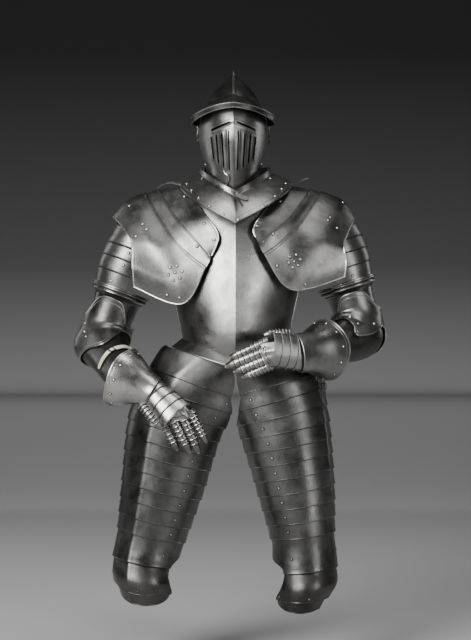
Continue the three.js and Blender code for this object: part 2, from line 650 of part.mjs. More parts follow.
for (const arm of arms) {
  const parent = group(`${arm.name}_arm`);
  const name = (piece) => `${arm.name}_${piece}`;
  const pauldron = (from, to, cols, rows, lift) =>
    plate(pauldronForm(arm, from, to), { cols, rows, lift });
  add(parent, name("pauldron_neck_lame"), pauldron(0, 1.16, 14, 2, 0));
  add(parent, name("pauldron_upper_lame"), pauldron(1.02, 2.12, 14, 2, STEP));
  add(parent, name("pauldron_main"), pauldron(2.0, 4, 16, 5, 2 * STEP + 2));
  const lames = { cols: 10, rows: lameEdges, lift: (u, v) => lameStep(v) };
  add(parent, name("upper_arm_lames"), plate(armLamesForm(arm), lames));
  const cannonRows = [0, 0.1, 0.18, 0.5, 1];
  add(parent, name("upper_cannon"), plate(upperCannonForm(arm), { cols: 14, rows: cannonRows, ring: true }));
  add(parent, name("couter"), plate(couterForm(arm), { cols: 24, rows: 8, ring: true }));
  add(parent, name("lower_cannon"), plate(lowerCannonForm(arm), { cols: 14, rows: 6, ring: true }));
  add(parent, name("gauntlet_cuff"), plate(cuffForm(arm), { cols: 16, rows: 5, ring: true }), BRIGHT);
  add(parent, name("gauntlet_hand"), plate(handForm(arm), { cols: 8, rows: handEdges, lift: handStep }), BRIGHT);
  const fingers = arm.fingers.map((shape) => finger(arm, shape));
  add(parent, name("gauntlet_fingers"), joined([knucklePlate(arm), ...fingers]), BRIGHT);
  add(parent, name("gauntlet_thumb"), finger(arm, { ...arm.thumb, radius: 9 }), BRIGHT);
}

// ---------------------------------------------------------------- legs
// A leg's sections are tilted ellipses. drop is how far a section's middle is below the origin, x its
// distance from the middle of the suit, y its middle's depth, half and front its half width and depth.
// inner is how far round to the inside of the leg the plates reach. keel is how far round to the outside
// their ridge runs, and rise is how much the knee plate's lower edge rises on the outside.
const legColumns = ["drop", "x", "half", "front", "y", "tilt", "inner"];
const legs = [
  {
    name: "right",
    side: -1,
    section: table(legColumns, [
      [410, 14, 165, 122, -36, 18, 5.4],
      [423, 20, 172, 120, -36, 18, 6],
      [456, 78, 136, 114, -38, 19, 32],
      [492, 100, 132, 112, -38, 18, 45.5],
      [557, 145, 119, 108, -40, 15, 69],
      [709, 181, 100, 95, -42, 14.5, 88],
      [826, 207, 84, 84, -45, 13.5, 86],
      [862, 216, 80, 82, -47, 12, 87],
      [878, 219, 79.5, 83, -47.5, 11.6, 62],
      [893, 222, 79, 84, -48, 11, 52],
      [935, 223, 79, 97, -50, 8, 52],
      [975, 224, 62, 84, -50, 6, 82],
      [1012, 222, 50, 66, -48, 4, 82],
    ]),
    knee: 893,
    keel: 27,
    rise: 20,
  },
  {
    name: "left",
    side: 1,
    section: table(legColumns, [
      [410, 14, 150, 122, -36, 15, 6],
      [423, 20, 149, 120, -36, 15, 7],
      [456, 80, 128, 114, -38, 14, 34],
      [492, 95, 122, 112, -38, 15, 46],
      [566, 121, 111, 108, -40, 11.5, 80],
      [729, 152, 92, 93, -42, 10, 86],
      [840, 167, 77, 82, -45, 7, 86],
      [878, 170, 77, 81, -47, 6, 86],
      [895, 170.5, 77.5, 82, -47.5, 5.8, 50],
      [912, 171, 78, 83, -48, 5.5, 42],
      [952, 172, 77, 96, -50, 4, 53],
      [994, 160, 58, 84, -50, 2, 82],
      [1032, 153, 46, 66, -48, 0, 82],
    ]),
    knee: 912,
    keel: 57,
    rise: 8,
  },
];
const TASSET = { lames: 12, top: 423, shallow: 36.8, outer: 104, overlap: 9, step: 3.4 };
const KEEL = { height: 5, width: 9 };
function legPoint(leg, turn, drop) {
  const { x, half, front, y, tilt } = leg.section(drop);
  const outward = vec(leg.side * Math.cos(tilt * DEG), 0, Math.sin(tilt * DEG));
  const keel = KEEL.height * fade(turn / DEG - leg.keel, KEEL.width);
  return vec(leg.side * x, y, -drop)
    .addScaledVector(outward, (half + keel) * Math.sin(turn))
    .add(vec(0, -(front + keel) * Math.cos(turn), 0));
}
// Each lame lies over the next: it starts tucked under the one above and ends standing off the one below.
function lameForm(leg, from, to) {
  return (u, v) => {
    const drop = lerp(from, to, v);
    const inner = leg.section(drop).inner;
    return legPoint(leg, lerp(-inner, TASSET.outer, u) * DEG, drop);
  };
}
// The knee plate's lower edge rises towards the outside.
function poleynForm(leg, from, to) {
  return (u, v) => {
    const turn = lerp(-leg.section(lerp(from, to, v)).inner, TASSET.outer, u);
    return legPoint(leg, turn * DEG, lerp(from, to - leg.rise * ramp(10, 100, turn), v));
  };
}
function poleynFootForm(leg, from, to) {
  return (u, v) => {
    const turn = lerp(-leg.section(lerp(from, to, v)).inner, 92, u);
    const round = 20 * v * ((turn - 4) / 90) ** 2;
    return legPoint(leg, turn * DEG, lerp(from, to, v) - round);
  };
}
const lameRows = (i) => (i < 2 ? 4 : i < 5 ? 2 : i < TASSET.lames - 1 ? 1 : 6);
const lameCols = [0, 0.12, 0.25, 0.38, 0.5, 0.6, 0.685, 0.77, 0.88, 1];
for (const leg of legs) {
  const parent = group(`${leg.name}_leg`);
  const edge = (i) => (i < TASSET.lames ? TASSET.top + i * TASSET.shallow : leg.knee);
  range(TASSET.lames).forEach((i) => {
    const from = edge(i) - (i ? TASSET.overlap : 9);
    const lift = (u, v) => (i < 3 ? 1.3 : 1) * TASSET.step * v;
    const geometry = plate(lameForm(leg, from, edge(i + 1)), { cols: lameCols, rows: lameRows(i), lift, out: -leg.side });
    add(parent, `${leg.name}_tasset_lame_${i + 1}`, geometry);
  });
  const cap = poleynForm(leg, leg.knee - TASSET.overlap, leg.knee + 70);
  add(parent, `${leg.name}_poleyn`, plate(cap, { cols: lameCols, rows: 5, lift: (u, v) => STEP * v - 3.4 * (1 - v) ** 3, out: -leg.side }));
  const foot = poleynFootForm(leg, leg.knee + 60, leg.knee + 100);
  add(parent, `${leg.name}_poleyn_foot`, plate(foot, { cols: 10, rows: 3, lift: -1.8, out: -leg.side }));
}

export default suit;
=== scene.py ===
"""Blender dress of the three-quarter plate armour: fine plates on the same forms as the CAD solids, with
turned edges, rivets, straps, worn steel, a studio floor, lights and the camera.

Forms are functions of u and v in millimetres in the part's frame: +Z up, the front faces -Y, and the wearer's
left is +X. Every plate is a closed wall on its form."""

import bmesh
import bpy
import numpy as np
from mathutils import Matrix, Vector


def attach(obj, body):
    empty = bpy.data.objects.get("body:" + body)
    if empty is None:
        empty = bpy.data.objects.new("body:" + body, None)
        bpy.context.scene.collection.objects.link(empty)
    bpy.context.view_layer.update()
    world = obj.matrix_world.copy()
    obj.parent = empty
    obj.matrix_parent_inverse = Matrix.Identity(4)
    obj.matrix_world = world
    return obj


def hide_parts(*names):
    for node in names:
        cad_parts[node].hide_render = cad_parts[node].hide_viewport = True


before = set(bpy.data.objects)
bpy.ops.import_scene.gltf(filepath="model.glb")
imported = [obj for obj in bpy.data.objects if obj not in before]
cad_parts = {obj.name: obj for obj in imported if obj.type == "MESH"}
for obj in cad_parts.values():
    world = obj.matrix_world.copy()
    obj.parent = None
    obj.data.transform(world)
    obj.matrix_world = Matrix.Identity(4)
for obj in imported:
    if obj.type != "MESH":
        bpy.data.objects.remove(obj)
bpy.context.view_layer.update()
DEG = np.pi / 180
WALL = 1.5  # how thick a plate is
STEP = 2.4  # how far each lame stands over the one before it
CREASE = 32 * DEG


# ------------------------------------------------------------------ numbers
def vec(x, y, z):
    return np.array([x, y, z], float)


def lerp(a, b, t):
    return a + (b - a) * t


def ramp(low, high, value):
    t = np.clip((value - low) / (high - low), 0, 1)
    return t * t * (3 - 2 * t)


def fade(distance, width):
    return np.exp(-np.abs(distance) / width)


def bump(distance, width):
    return np.exp(-((distance / width) ** 2))


def unit(v):
    return v / np.maximum(np.linalg.norm(v, axis=-1, keepdims=True), 1e-9)


def xyz(x, y, z):
    return np.stack(np.broadcast_arrays(x, y, z), axis=-1).astype(float)


def through(points, t):
    """The curve through points, stacked on axis 0, at t, one point per unit of t."""
    points = np.asarray(points, float)
    last = len(points) - 1
    t = np.asarray(t, float)
    i = np.clip(np.floor(t).astype(int), 0, last - 1)
    f = (t - i)[..., None]
    if points.ndim == 2:
        pick = lambda k: points[np.clip(k, 0, last)]
    else:
        pick = lambda k: np.take_along_axis(points, np.clip(k, 0, last)[None, ..., None], 0)[0]
    p, q, r, s = pick(i - 1), pick(i), pick(i + 1), pick(i + 2)
    return q + 0.5 * f * (r - p + f * (2 * p - 5 * q + 4 * r - s + f * (3 * (q - r) + s - p)))


def table(rows):
    """A function of the key that gives the values of rows (key, value, value ...), smooth between rows."""
    rows = np.array(rows, float)
    keys, values = rows[:, 0], rows[:, 1:]
    after = np.minimum(np.arange(1, len(rows) + 1), len(rows) - 1)
    before = np.maximum(np.arange(len(rows)) - 1, 0)
    slopes = (values[after] - values[before]) / (keys[after] - keys[before])[:, None]

    def read(key):
        key = np.asarray(key, float)
        i = np.clip(np.searchsorted(keys, key, side="right") - 1, 0, len(keys) - 2)
        span = (keys[i + 1] - keys[i])[..., None]
        f = np.clip((key - keys[i]) / (keys[i + 1] - keys[i]), 0, 1)[..., None]
        p, q, m, n = values[i], values[i + 1], slopes[i] * span, slopes[i + 1] * span
        got = p + f * (m + f * (3 * (q - p) - 2 * m - n + f * (2 * (p - q) + m + n)))
        return np.moveaxis(got, -1, 0)

    return read


# ------------------------------------------------------------------ plates
class Plate:
    """A closed wall on form(u, v).

    cols and rows are counts or lists of u and v, and lift(u, v) moves the wall outwards. A ring closes on
    itself round u, and a pole closes the wall at v 0. out says which side is the outer skin, where it isn't
    simply the bulging one."""

    def __init__(self, form, cols, rows, wall=WALL, lift=0.0, ring=False, pole=False, out=0):
        self.form, self.wall, self.ring, self.pole = form, wall, ring, pole
        self.us = np.linspace(0, 1, cols + 1) if np.isscalar(cols) else np.array(cols, float)
        self.vs = np.linspace(0, 1, rows + 1) if np.isscalar(rows) else np.array(rows, float)
        if ring:
            self.us = self.us[:-1]
        self.lift = lift if callable(lift) else (lambda u, v: lift + 0 * u)
        self.sign = out
        if not out:
            p, n = self.raw(*np.meshgrid(self.us, self.vs))
            self.sign = np.sign(np.sum(n * (p - p.reshape(-1, 3).mean(0)))) or 1

    def raw(self, u, v):
        h = 1e-3
        inside = lambda t: np.clip(t, 0, 1)
        u0, u1 = (u - h, u + h) if self.ring else (inside(u - h), inside(u + h))
        along_v = self.form(u, inside(v + h)) - self.form(u, inside(v - h))
        n = unit(np.cross(self.form(u1, v) - self.form(u0, v), along_v))
        return self.form(u, v), n

    def at(self, u, v, above=0.0):
        """A point on the outer skin, or above it, and the outward normal there."""
        u, v = np.asarray(u, float), np.asarray(v, float)
        p, n = self.raw(u, v)
        n = n * self.sign
        return p + n * (self.lift(u, v) + above)[..., None], n

    def mesh(self):
        u, v = np.meshgrid(self.us, self.vs)
        p, n = self.raw(u, v)
        if self.pole:
            n[0] = unit(n[1].mean(0))
            p[0] = p[0].mean(0)
        n = n * self.sign
        rise = self.lift(u, v)[..., None]
        nv, nu = u.shape
        verts = np.concatenate([(p + n * rise).reshape(-1, 3), (p + n * (rise - self.wall)).reshape(-1, 3)])
        index = np.arange(2 * nu * nv).reshape(2, nv, nu)
        if self.ring:
            index = np.concatenate([index, index[:, :, :1]], axis=2)
        a, b = index
        quads = [
            np.stack([a[:-1, :-1], a[:-1, 1:], a[1:, 1:], a[1:, :-1]], -1),
            np.stack([b[1:, :-1], b[1:, 1:], b[:-1, 1:], b[:-1, :-1]], -1),
            np.stack([a[-1, :-1], a[-1, 1:], b[-1, 1:], b[-1, :-1]], -1),
        ]
        if not self.pole:
            quads.append(np.stack([b[0, :-1], b[0, 1:], a[0, 1:], a[0, :-1]], -1))
        if not self.ring:
            quads.append(np.stack([a[:-1, 0], a[1:, 0], b[1:, 0], b[:-1, 0]], -1))
            quads.append(np.stack([b[:-1, -1], b[1:, -1], a[1:, -1], a[:-1, -1]], -1))
        faces = np.concatenate([q.reshape(-1, 4) for q in quads])
        if self.sign < 0:
            faces = faces[:, ::-1]
        return verts, faces

    def find(self, x, z):
        """The u and v of the place on the outer skin that the front view shows at x, z."""
        u, v = np.meshgrid(np.linspace(0, 1, 141), np.linspace(0, 1, 141))
        p, n = self.at(u, v)
        far = (p[..., 0] - x) ** 2 + (p[..., 2] - z) ** 2 + 1e6 * (n[..., 1] > 0.05)
        i = np.unravel_index(np.argmin(far), far.shape)
        return u[i], v[i]

    def line(self, u, v, above=0.0):
        """Points on the outer skin along a line, with u or v as a list."""
        u, v = np.broadcast_arrays(np.asarray(u, float), np.asarray(v, float))
        return self.at(u, v, above)[0]

    def bead(self, u, v, above, radius):
        """A round bead along a line of the outer skin, closed where it runs round a ring."""
        return tube(self.line(u, v, above), radius, closed=self.ring and np.ndim(u) > 0)


def stepped(edges, count, gap):
    """Rows of v, count of them between each two edges, with a gap at each edge but the first and the last."""
    rows = np.concatenate([np.linspace(a + gap, b - gap, count) for a, b in zip(edges[:-1], edges[1:])])
    rows[0], rows[-1] = edges[0], edges[-1]
    return rows


def quad_strip(rows, sides, closed=False):
    """The quads between rows of points with this many sides, as lists of indices."""
    k = np.arange(sides)
    j = (k + 1) % sides
    starts = np.arange(rows if closed else rows - 1)[:, None] * sides
    ends = (starts + sides) % (rows * sides)
    return np.stack([starts + k, starts + j, ends + j, ends + k], -1).reshape(-1, 4).tolist()


def caps(rows, sides):
    return [tuple(range(sides - 1, -1, -1)), tuple((rows - 1) * sides + k for k in range(sides))]


def tube(points, radius, closed=False, sides=8):
    """A round bead along points."""
    points = np.asarray(points, float)
    keep = np.r_[True, np.linalg.norm(np.diff(points, axis=0), axis=1) > 1e-4]
    points = points[keep]
    if closed and np.linalg.norm(points[0] - points[-1]) < 1e-3:
        points = points[:-1]
    if closed:
        along = unit(np.roll(points, -1, 0) - np.roll(points, 1, 0))
    else:
        along = unit(np.gradient(points, axis=0))
    side = np.zeros_like(points)
    side[0] = unit(np.cross(along[0], [0, 0, 1] if abs(along[0][2]) < 0.9 else [1, 0, 0]))
    for i in range(1, len(points)):
        side[i] = unit(side[i - 1] - along[i] * np.dot(side[i - 1], along[i]))
    other = np.cross(along, side)
    angle = np.linspace(0, 2 * np.pi, sides, endpoint=False)
    radius = np.broadcast_to(np.asarray(radius, float), (len(points),))[:, None, None]
    ring = side[:, None] * np.cos(angle)[None, :, None] + other[:, None] * np.sin(angle)[None, :, None]
    verts = (points[:, None] + ring * radius).reshape(-1, 3)
    faces = quad_strip(len(points), sides, closed)
    return verts, faces if closed else faces + caps(len(points), sides)


def ribbon(points, normals, width, thick=2.0):
    """A flat strap along points, with its broad side facing along normals."""
    points = np.asarray(points, float)
    along = unit(np.gradient(points, axis=0))
    side = unit(np.cross(along, np.broadcast_to(normals, points.shape)))
    up = np.cross(side, along)
    half = np.broadcast_to(np.asarray(width, float), (len(points),))[:, None] / 2
    outline = [(-1, 0.25), (-0.86, 1), (0.86, 1), (1, 0.25), (1, -0.25), (0.86, -1), (-0.86, -1), (-1, -0.25)]
    verts = np.stack([points + side * half * a + up * (thick / 2 * b) for a, b in outline], 1).reshape(-1, 3)
    n, m = len(points), len(outline)
    return verts, quad_strip(n, m) + caps(n, m)


RIVET_SHADE = []  # the near-black rings of painted shade round the rivets' heads, gathered here as the rivets are made


def dome(point, normal, radius, height, sides=12):
    """A domed rivet head."""
    normal = unit(np.asarray(normal, float))
    side = unit(np.cross(normal, [0, 0, 1] if abs(normal[2]) < 0.9 else [1, 0, 0]))
    other = np.cross(normal, side)
    root = -0.8  # how far under the plate's skin the head starts
    profile = [(1, root), (1, 0.15 * height), (0.78, 0.68 * height), (0.4, 0.94 * height)]
    angle = np.linspace(0, 2 * np.pi, sides, endpoint=False)[:, None]
    around = (side * np.cos(angle) + other * np.sin(angle)) * radius
    rings = [point + normal * z + around * part for part, z in profile]
    verts = np.concatenate(rings + [[point + normal * height, point + normal * root]])
    faces = quad_strip(len(profile), sides)
    top = len(faces)
    for k in range(sides):
        j = (k + 1) % sides
        faces += [(top + k, top + j, top + sides), (j, k, top + sides + 1)]
    return verts, faces


def rivets_at(plate, places, radius=3.3, height=2.6):
    """Rivets at x, z of the front view."""
    return rivets(plate, [plate.find(x, z) for x, z in places], radius, height)


def rosette(x, z, size):
    """The places of seven rivets, one in the middle of six."""
    angles = np.arange(6) * 60 * DEG + 0.25
    return [(x, z)] + [(x + size * np.cos(a), z + size * np.sin(a)) for a in angles]


def rivets(plate, places, radius=2.6, height=1.9):
    """Rivets at u, v of the plate."""
    made = []
    for u, v in places:
        p, n = plate.at(u, v)
        made.append(dome(p, n, radius, height))
        # A thin near-black ring of painted shade round the head.
        RIVET_SHADE.append(dome(p, n, radius + 1.3, 0.45))
    return made


# ------------------------------------------------------------------ materials
def worn(name, dark, light, rough, patch, metallic=1.0):
    """Worn, patchy steel, or with metallic 0 worn leather or the near-black of painted shade. patch is how
    fine the patches are.
    """
    material = bpy.data.materials.new(name)
    material.use_nodes = True
    nodes, links = material.node_tree.nodes, material.node_tree.links
    shader = nodes["Principled BSDF"]
    shader.inputs["Metallic"].default_value = metallic
    place = nodes.new("ShaderNodeTexCoord")

    def noise(scale, detail, harsh, stretch=None):
        made = nodes.new("ShaderNodeTexNoise")
        made.inputs["Scale"].default_value = scale
        made.inputs["Detail"].default_value = detail
        made.inputs["Roughness"].default_value = harsh
        source = place.outputs["Object"]
        if stretch:
            mapping = nodes.new("ShaderNodeMapping")
            mapping.inputs["Scale"].default_value = stretch
            links.new(source, mapping.inputs["Vector"])
            source = mapping.outputs["Vector"]
        links.new(source, made.inputs["Vector"])
        return made.outputs["Fac"]

    def colours(factor, low, high, first, second):
        made = nodes.new("ShaderNodeValToRGB")
        ends = made.color_ramp.elements
        ends[0].position, ends[1].position = low, high
        ends[0].color, ends[1].color = (*first, 1), (*second, 1)
        links.new(factor, made.inputs["Fac"])
        return made.outputs["Color"]

    def blend(kind, factor, first, second):
        made = nodes.new("ShaderNodeMixRGB")
        made.blend_type = kind
        for socket, value in (("Fac", factor), ("Color1", first), ("Color2", second)):
            if hasattr(value, "links"):
                links.new(value, made.inputs[socket])
            else:
                made.inputs[socket].default_value = value
        return made.outputs["Color"]

    patches = noise(patch, 6, 0.62)
    base = colours(patches, 0.36, 0.66, light, dark)
    stain = colours(noise(31, 8, 0.7), 0.5, 0.72, (1, 1, 1), (0.74, 0.69, 0.64))
    base = blend("MULTIPLY", 0.8, base, stain)
    pits = colours(noise(240, 3, 0.5), 0.63, 0.7, (1, 1, 1), (0.45, 0.42, 0.4))
    base = blend("MULTIPLY", 0.45, base, pits)
    links.new(base, shader.inputs["Base Color"])
    gloss = colours(noise(17, 7, 0.7), 0.3, 0.75, (rough * 0.75,) * 3, (rough * 1.6,) * 3)
    links.new(gloss, shader.inputs["Roughness"])
    relief = blend("ADD", 0.5, noise(9, 3, 0.5), noise(420, 2, 0.5, (1, 1, 0.12)))
    height = nodes.new("ShaderNodeBump")
    height.inputs["Strength"].default_value = 0.12
    height.inputs["Distance"].default_value = 0.004
    links.new(relief, height.inputs["Height"])
    links.new(height.outputs["Normal"], shader.inputs["Normal"])
    return material


FINISH = {
    "steel": worn("steel", (0.12, 0.118, 0.115), (0.31, 0.31, 0.305), 0.31, 5.5),
    "arm": worn("arm_steel", (0.085, 0.084, 0.082), (0.235, 0.235, 0.23), 0.31, 5.5),
    "leg": worn("leg_steel", (0.06, 0.06, 0.058), (0.165, 0.165, 0.162), 0.31, 5.5),
    "dark": worn("dark_steel", (0.04, 0.038, 0.036), (0.11, 0.108, 0.105), 0.33, 6.5),
    "bright": worn("bright_steel", (0.22, 0.217, 0.21), (0.5, 0.495, 0.485), 0.27, 7.0),
    "rivet": worn("rivet_steel", (0.5, 0.49, 0.47), (0.78, 0.77, 0.75), 0.28, 20.0),
    # Near-black painted shade, laid as thin tubes in the gaps under lame and scale edges and as rings round
    # the rivets' heads.
    "gap_shade": worn("painted_shade_black", (0.004, 0.004, 0.004), (0.012, 0.011, 0.01), 0.8, 20.0, 0.0),
    "buff": worn("buff_leather", (0.44, 0.40, 0.30), (0.68, 0.64, 0.52), 0.6, 40.0, 0.0),
    "black": worn("black_leather", (0.016, 0.014, 0.013), (0.05, 0.045, 0.04), 0.42, 40.0, 0.0),
    "brown": worn("brown_leather", (0.20, 0.11, 0.07), (0.42, 0.27, 0.19), 0.6, 40.0, 0.0),
}
# The slot of each steel finish. The painted gap shade and the leathers have none.
SLOT = {name: "steel" for name in ("steel", "arm", "leg", "dark", "rivet")}
SLOT["bright"] = "bright_steel"


def piece(name, parts, finish, body="suit", cad=""):
    """One mesh of the suit, from (vertices, faces) parts in millimetres, in place of the solid cad."""
    verts, faces, start = [], [], 0
    for points, polygons in parts:
        verts.append(np.asarray(points, float) * 0.001)
        faces += [tuple(int(i) + start for i in f) for f in polygons]
        start += len(points)
    mesh = bpy.data.meshes.new(name)
    mesh.from_pydata(np.concatenate(verts).tolist(), [], faces)
    obj = bpy.data.objects.new(name, mesh)
    bpy.context.scene.collection.objects.link(obj)
    tidy = bmesh.new()
    tidy.from_mesh(mesh)
    bmesh.ops.remove_doubles(tidy, verts=tidy.verts, dist=1e-7)
    tidy.to_mesh(mesh)
    tidy.free()
    soften(mesh)
    mesh.materials.append(FINISH[finish])
    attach(obj, body)
    if cad:
        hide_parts(cad)
    return obj


def soften(mesh):
    """Smooth shading, apart from edges sharper than CREASE."""
    mesh.polygons.foreach_set("use_smooth", [True] * len(mesh.polygons))
    mesh.set_sharp_from_angle(angle=CREASE)


# ------------------------------------------------------------------ helmet
PIVOT = vec(-5, 5, 150)  # the middle of the pin that the visor and the peak turn on
PIN = dict(radius=7, hole=8.5, start=80, reach=92)
# Half width, radius in depth and height, tilt of the lower edge at brow, nape and sides, and the finial.
SKULL = dict(half=83, radius=145, brow=18, nape=-24, side=-40, spike=32)


def skull_point(turn, tilt, lift=0.0):
    """A point of the skull's spheroid: turn is measured from the front, and tilt up from level."""
    d = xyz(np.sin(turn) * np.cos(tilt), -np.cos(turn) * np.cos(tilt), np.sin(tilt))
    across = d[..., 0] / (SKULL["half"] + lift)
    around = np.hypot(d[..., 1], d[..., 2]) / (SKULL["radius"] + lift)
    return d / np.hypot(across, around)[..., None]


def skull_form(u, v):
    turn = (u * 360 - 180) * DEG
    front = ramp(0.15, 0.62, np.cos(turn))
    back = ramp(0.1, 0.9, -np.cos(turn))
    edge = lerp(lerp(SKULL["side"], SKULL["nape"], back), SKULL["brow"], front)
    tilt = lerp(90, edge, v) * DEG
    p = skull_point(turn, tilt)
    tuck = back * ramp(0, 40 * DEG, -tilt)
    p[..., 1] *= 1 - 0.17 * tuck
    p[..., 0] *= 1 - 0.16 * ramp(-8 * DEG, 28 * DEG, -tilt)
    near = 90 * DEG - tilt
    p[..., 2] += 12 * fade(near, 16 * DEG) + (SKULL["spike"] - 12) * fade(near, 2.2 * DEG)
    crest = 3.5 * fade(p[..., 0], 3.4) * (1 - fade(near, 9 * DEG))
    return p + unit(p * vec(0, 1, 1)) * crest[..., None] + PIVOT


# Height over the pivots, half width, front depth and how far the prow stands out.
FACE = table(
    [(-150, 66, 92, 8), (-130, 68, 101, 11), (-80, 71, 122, 16), (-40, 80, 138, 15)]
    + [(0, 86.5, 149, 11), (35, 86.5, 146.5, 8), (60, 82, 138.5, 5), (85, 74, 125, 2)]
)
# Turns and tilts in degrees, heights over the pivots, and how far the peak flares and lies off the skull.
VISOR = dict(turn=99, top=74, chin=-124, rise=83)
PEAK = dict(turn=98, inner=39, outer=28, flare=27, lie=7.3)


def face_point(turn, height):
    half, front, prow = FACE(height)
    x = half * np.sin(turn)
    return xyz(x, -front * np.cos(turn) - prow * fade(x, 22) * np.maximum(np.cos(turn), 0), height)


def visor_low(turn):
    return VISOR["chin"] + VISOR["rise"] * np.abs(turn / (77 * DEG)) ** 1.15


def visor_form(u, v):
    turn = lerp(-VISOR["turn"], VISOR["turn"], u) * DEG
    behind = ramp(74 * DEG, 99 * DEG, np.abs(turn))
    low = lerp(np.minimum(visor_low(turn), -24), -15, behind)
    high = lerp(VISOR["top"], 15, ramp(52 * DEG, 90 * DEG, np.abs(turn)))
    return face_point(turn, lerp(low, high, v)) + PIVOT


def bevor_form(u, v):
    turn = lerp(-104, 104, u) * DEG
    side = np.abs(turn) / (90 * DEG)
    back = ramp(86 * DEG, 104 * DEG, np.abs(turn))
    high = lerp(np.minimum(visor_low(turn) + 11, -13), -66, back)
    low = lerp(-150, -84, ramp(0, 1.25, side))
    height = lerp(high, low, v)
    p = face_point(turn, height)
    shrink = 1 - 3.9 / np.hypot(p[..., 0], p[..., 1])
    return xyz(p[..., 0] * shrink, p[..., 1] * shrink, height) + PIVOT


def peak_form(u, v):
    turn = lerp(-PEAK["turn"], PEAK["turn"], u) * DEG
    aside = ramp(50 * DEG, 95 * DEG, np.abs(turn))
    inner = lerp(PEAK["inner"], 38, aside) * DEG
    arm = ramp(80 * DEG, 92 * DEG, np.abs(turn))
    outer = lerp(lerp(PEAK["outer"], 29.5, aside), -8, arm) * DEG
    flare = lerp(lerp(PEAK["flare"], 13, aside), 0.3, ramp(66 * DEG, 81 * DEG, np.abs(turn))) * v**1.3
    p = skull_point(turn, lerp(inner, outer, v), PEAK["lie"] + 3 * aside * (1 - arm))
    ridge = 4 * fade(p[..., 0], 12) * (1 - 0.6 * v)
    level = xyz(np.sin(turn), -np.cos(turn), 0)
    return p + level * flare[..., None] + xyz(0 * ridge, -0.4 * ridge, ridge) + PIVOT


def band_form(peak):
    """The turned-down rim of the peak: it hangs from the peak's outer edge."""

    def form(u, v):
        u, v = np.broadcast_arrays(u, v)
        p = peak.at(lerp(0.07, 0.93, u), 1 + 0 * v)[0]
        aside = np.abs(2 * u - 1) ** 2
        inward = unit((PIVOT - p) * vec(1, 1, 0)) * (3 * v * (1 - aside))[..., None]
        return p + inward - xyz(0 * u, 0 * u, v * lerp(11, 17, aside))

    return form


# Where each sight starts and ends away from the middle, its height, where it lies and how it slopes.
SIGHT = dict(start=7, end=55, height=4.6, lift=19, fall=0.36)
# x, top, bottom and width of each breath of one side.
BREATHS = [(11, 5, -87, 3.6), (26, 1, -80, 3.6), (39, -1, -69, 3.4), (51, -5, -58, 3.2)]

# The hook that holds the visor down, from its root on the bevor: turn, height over the pivots, and how far it
# stands off the visor's skin.
HOOK = [(-17, -121, -2), (-12, -119, 2.6), (-9, -110, 4), (-11, -100, 4), (-17, -93, 3.4), (-20, -86, 2.6)]


def slot_bars():
    """x, z, width, height and roll of each slot of the visor, from the pivots' middle."""
    bars = []
    for side in (-1, 1):
        middle, wide = side * (SIGHT["start"] + SIGHT["end"]) / 2, SIGHT["end"] - SIGHT["start"]
        bars.append((middle, SIGHT["lift"], wide, SIGHT["height"], side * SIGHT["fall"]))
        for x, top, bottom, width in BREATHS:
            bars.append((side * x, (top + bottom) / 2, width, top - bottom, side * 0.0022 * x))
    return bars


def slot_lips(u, v):
    """The visor's skin stands up a little round each breath, and in a lip under each sight."""
    p = visor_form(u, v) - PIVOT
    rise = 0 * u
    for x, z, width, height, roll in slot_bars():
        dx, dz = p[..., 0] - x, p[..., 2] - z
        a = dx * np.cos(roll) - dz * np.sin(roll)
        b = dx * np.sin(roll) + dz * np.cos(roll)
        if height > width:
            edge = np.maximum(np.abs(b) - height / 2, 0)
            rise = rise + 0.9 * bump(np.abs(a) - width / 2 - 0.6, 1.7) * bump(edge, 3)
        else:
            edge = np.maximum(np.abs(a) - width / 2, 0)
            rise = rise + 2.4 * bump(b + height / 2 + 3.0, 2.0) * bump(edge, 4)
            rise = rise + 0.8 * bump(b - height / 2 - 1.0, 1.6) * bump(edge, 4)
    return rise


def cut(obj, cutters):
    """Takes the cutters out of obj and removes them."""
    for cutter in cutters:
        modifier = obj.modifiers.new("cut", "BOOLEAN")
        modifier.object = cutter
        modifier.operation = "DIFFERENCE"
        modifier.solver = "EXACT"
    bpy.context.view_layer.update()
    done = bpy.data.meshes.new_from_object(obj.evaluated_get(bpy.context.evaluated_depsgraph_get()))
    obj.modifiers.clear()
    obj.data = done
    soften(obj.data)
    for cutter in cutters:
        bpy.data.objects.remove(cutter)


def turned(bar, roll):
    bar.rotation_euler = (0, roll, 0)
    bpy.ops.object.transform_apply(location=False, rotation=True, scale=True)
    return bar


def slot_bar(x, z, width, height, roll):
    bpy.ops.mesh.primitive_cube_add(size=1, location=((PIVOT + vec(x, -120, z)) * 0.001).tolist())
    bpy.context.object.scale = (width * 0.001, 0.16, height * 0.001)
    return turned(bpy.context.object, roll)


def pin_holes():
    """Cutters for the holes that the pivot's pins go through, one a side."""
    made = []
    for side in (-1, 1):
        place = ((PIVOT + vec(side * 95, 0, 0)) * 0.001).tolist()
        size = dict(vertices=28, radius=PIN["hole"] * 0.001, depth=0.07)
        bpy.ops.mesh.primitive_cylinder_add(**size, location=place)
        made.append(turned(bpy.context.object, 90 * DEG))
    return made


def pin(side, sides=24):
    """A plain pin along X at the helmet's pivot."""
    angle = np.linspace(0, 2 * np.pi, sides, endpoint=False) * side
    radius, start, end = PIN["radius"], PIN["start"], PIN["reach"]
    profile = [(0, start), (radius, start), (radius, end - 1.5), (radius * 0.6, end), (0, end)]
    rings = [PIVOT + xyz(side * x + 0 * angle, r * np.cos(angle), r * np.sin(angle)) for r, x in profile]
    return np.concatenate(rings), quad_strip(len(profile), sides)


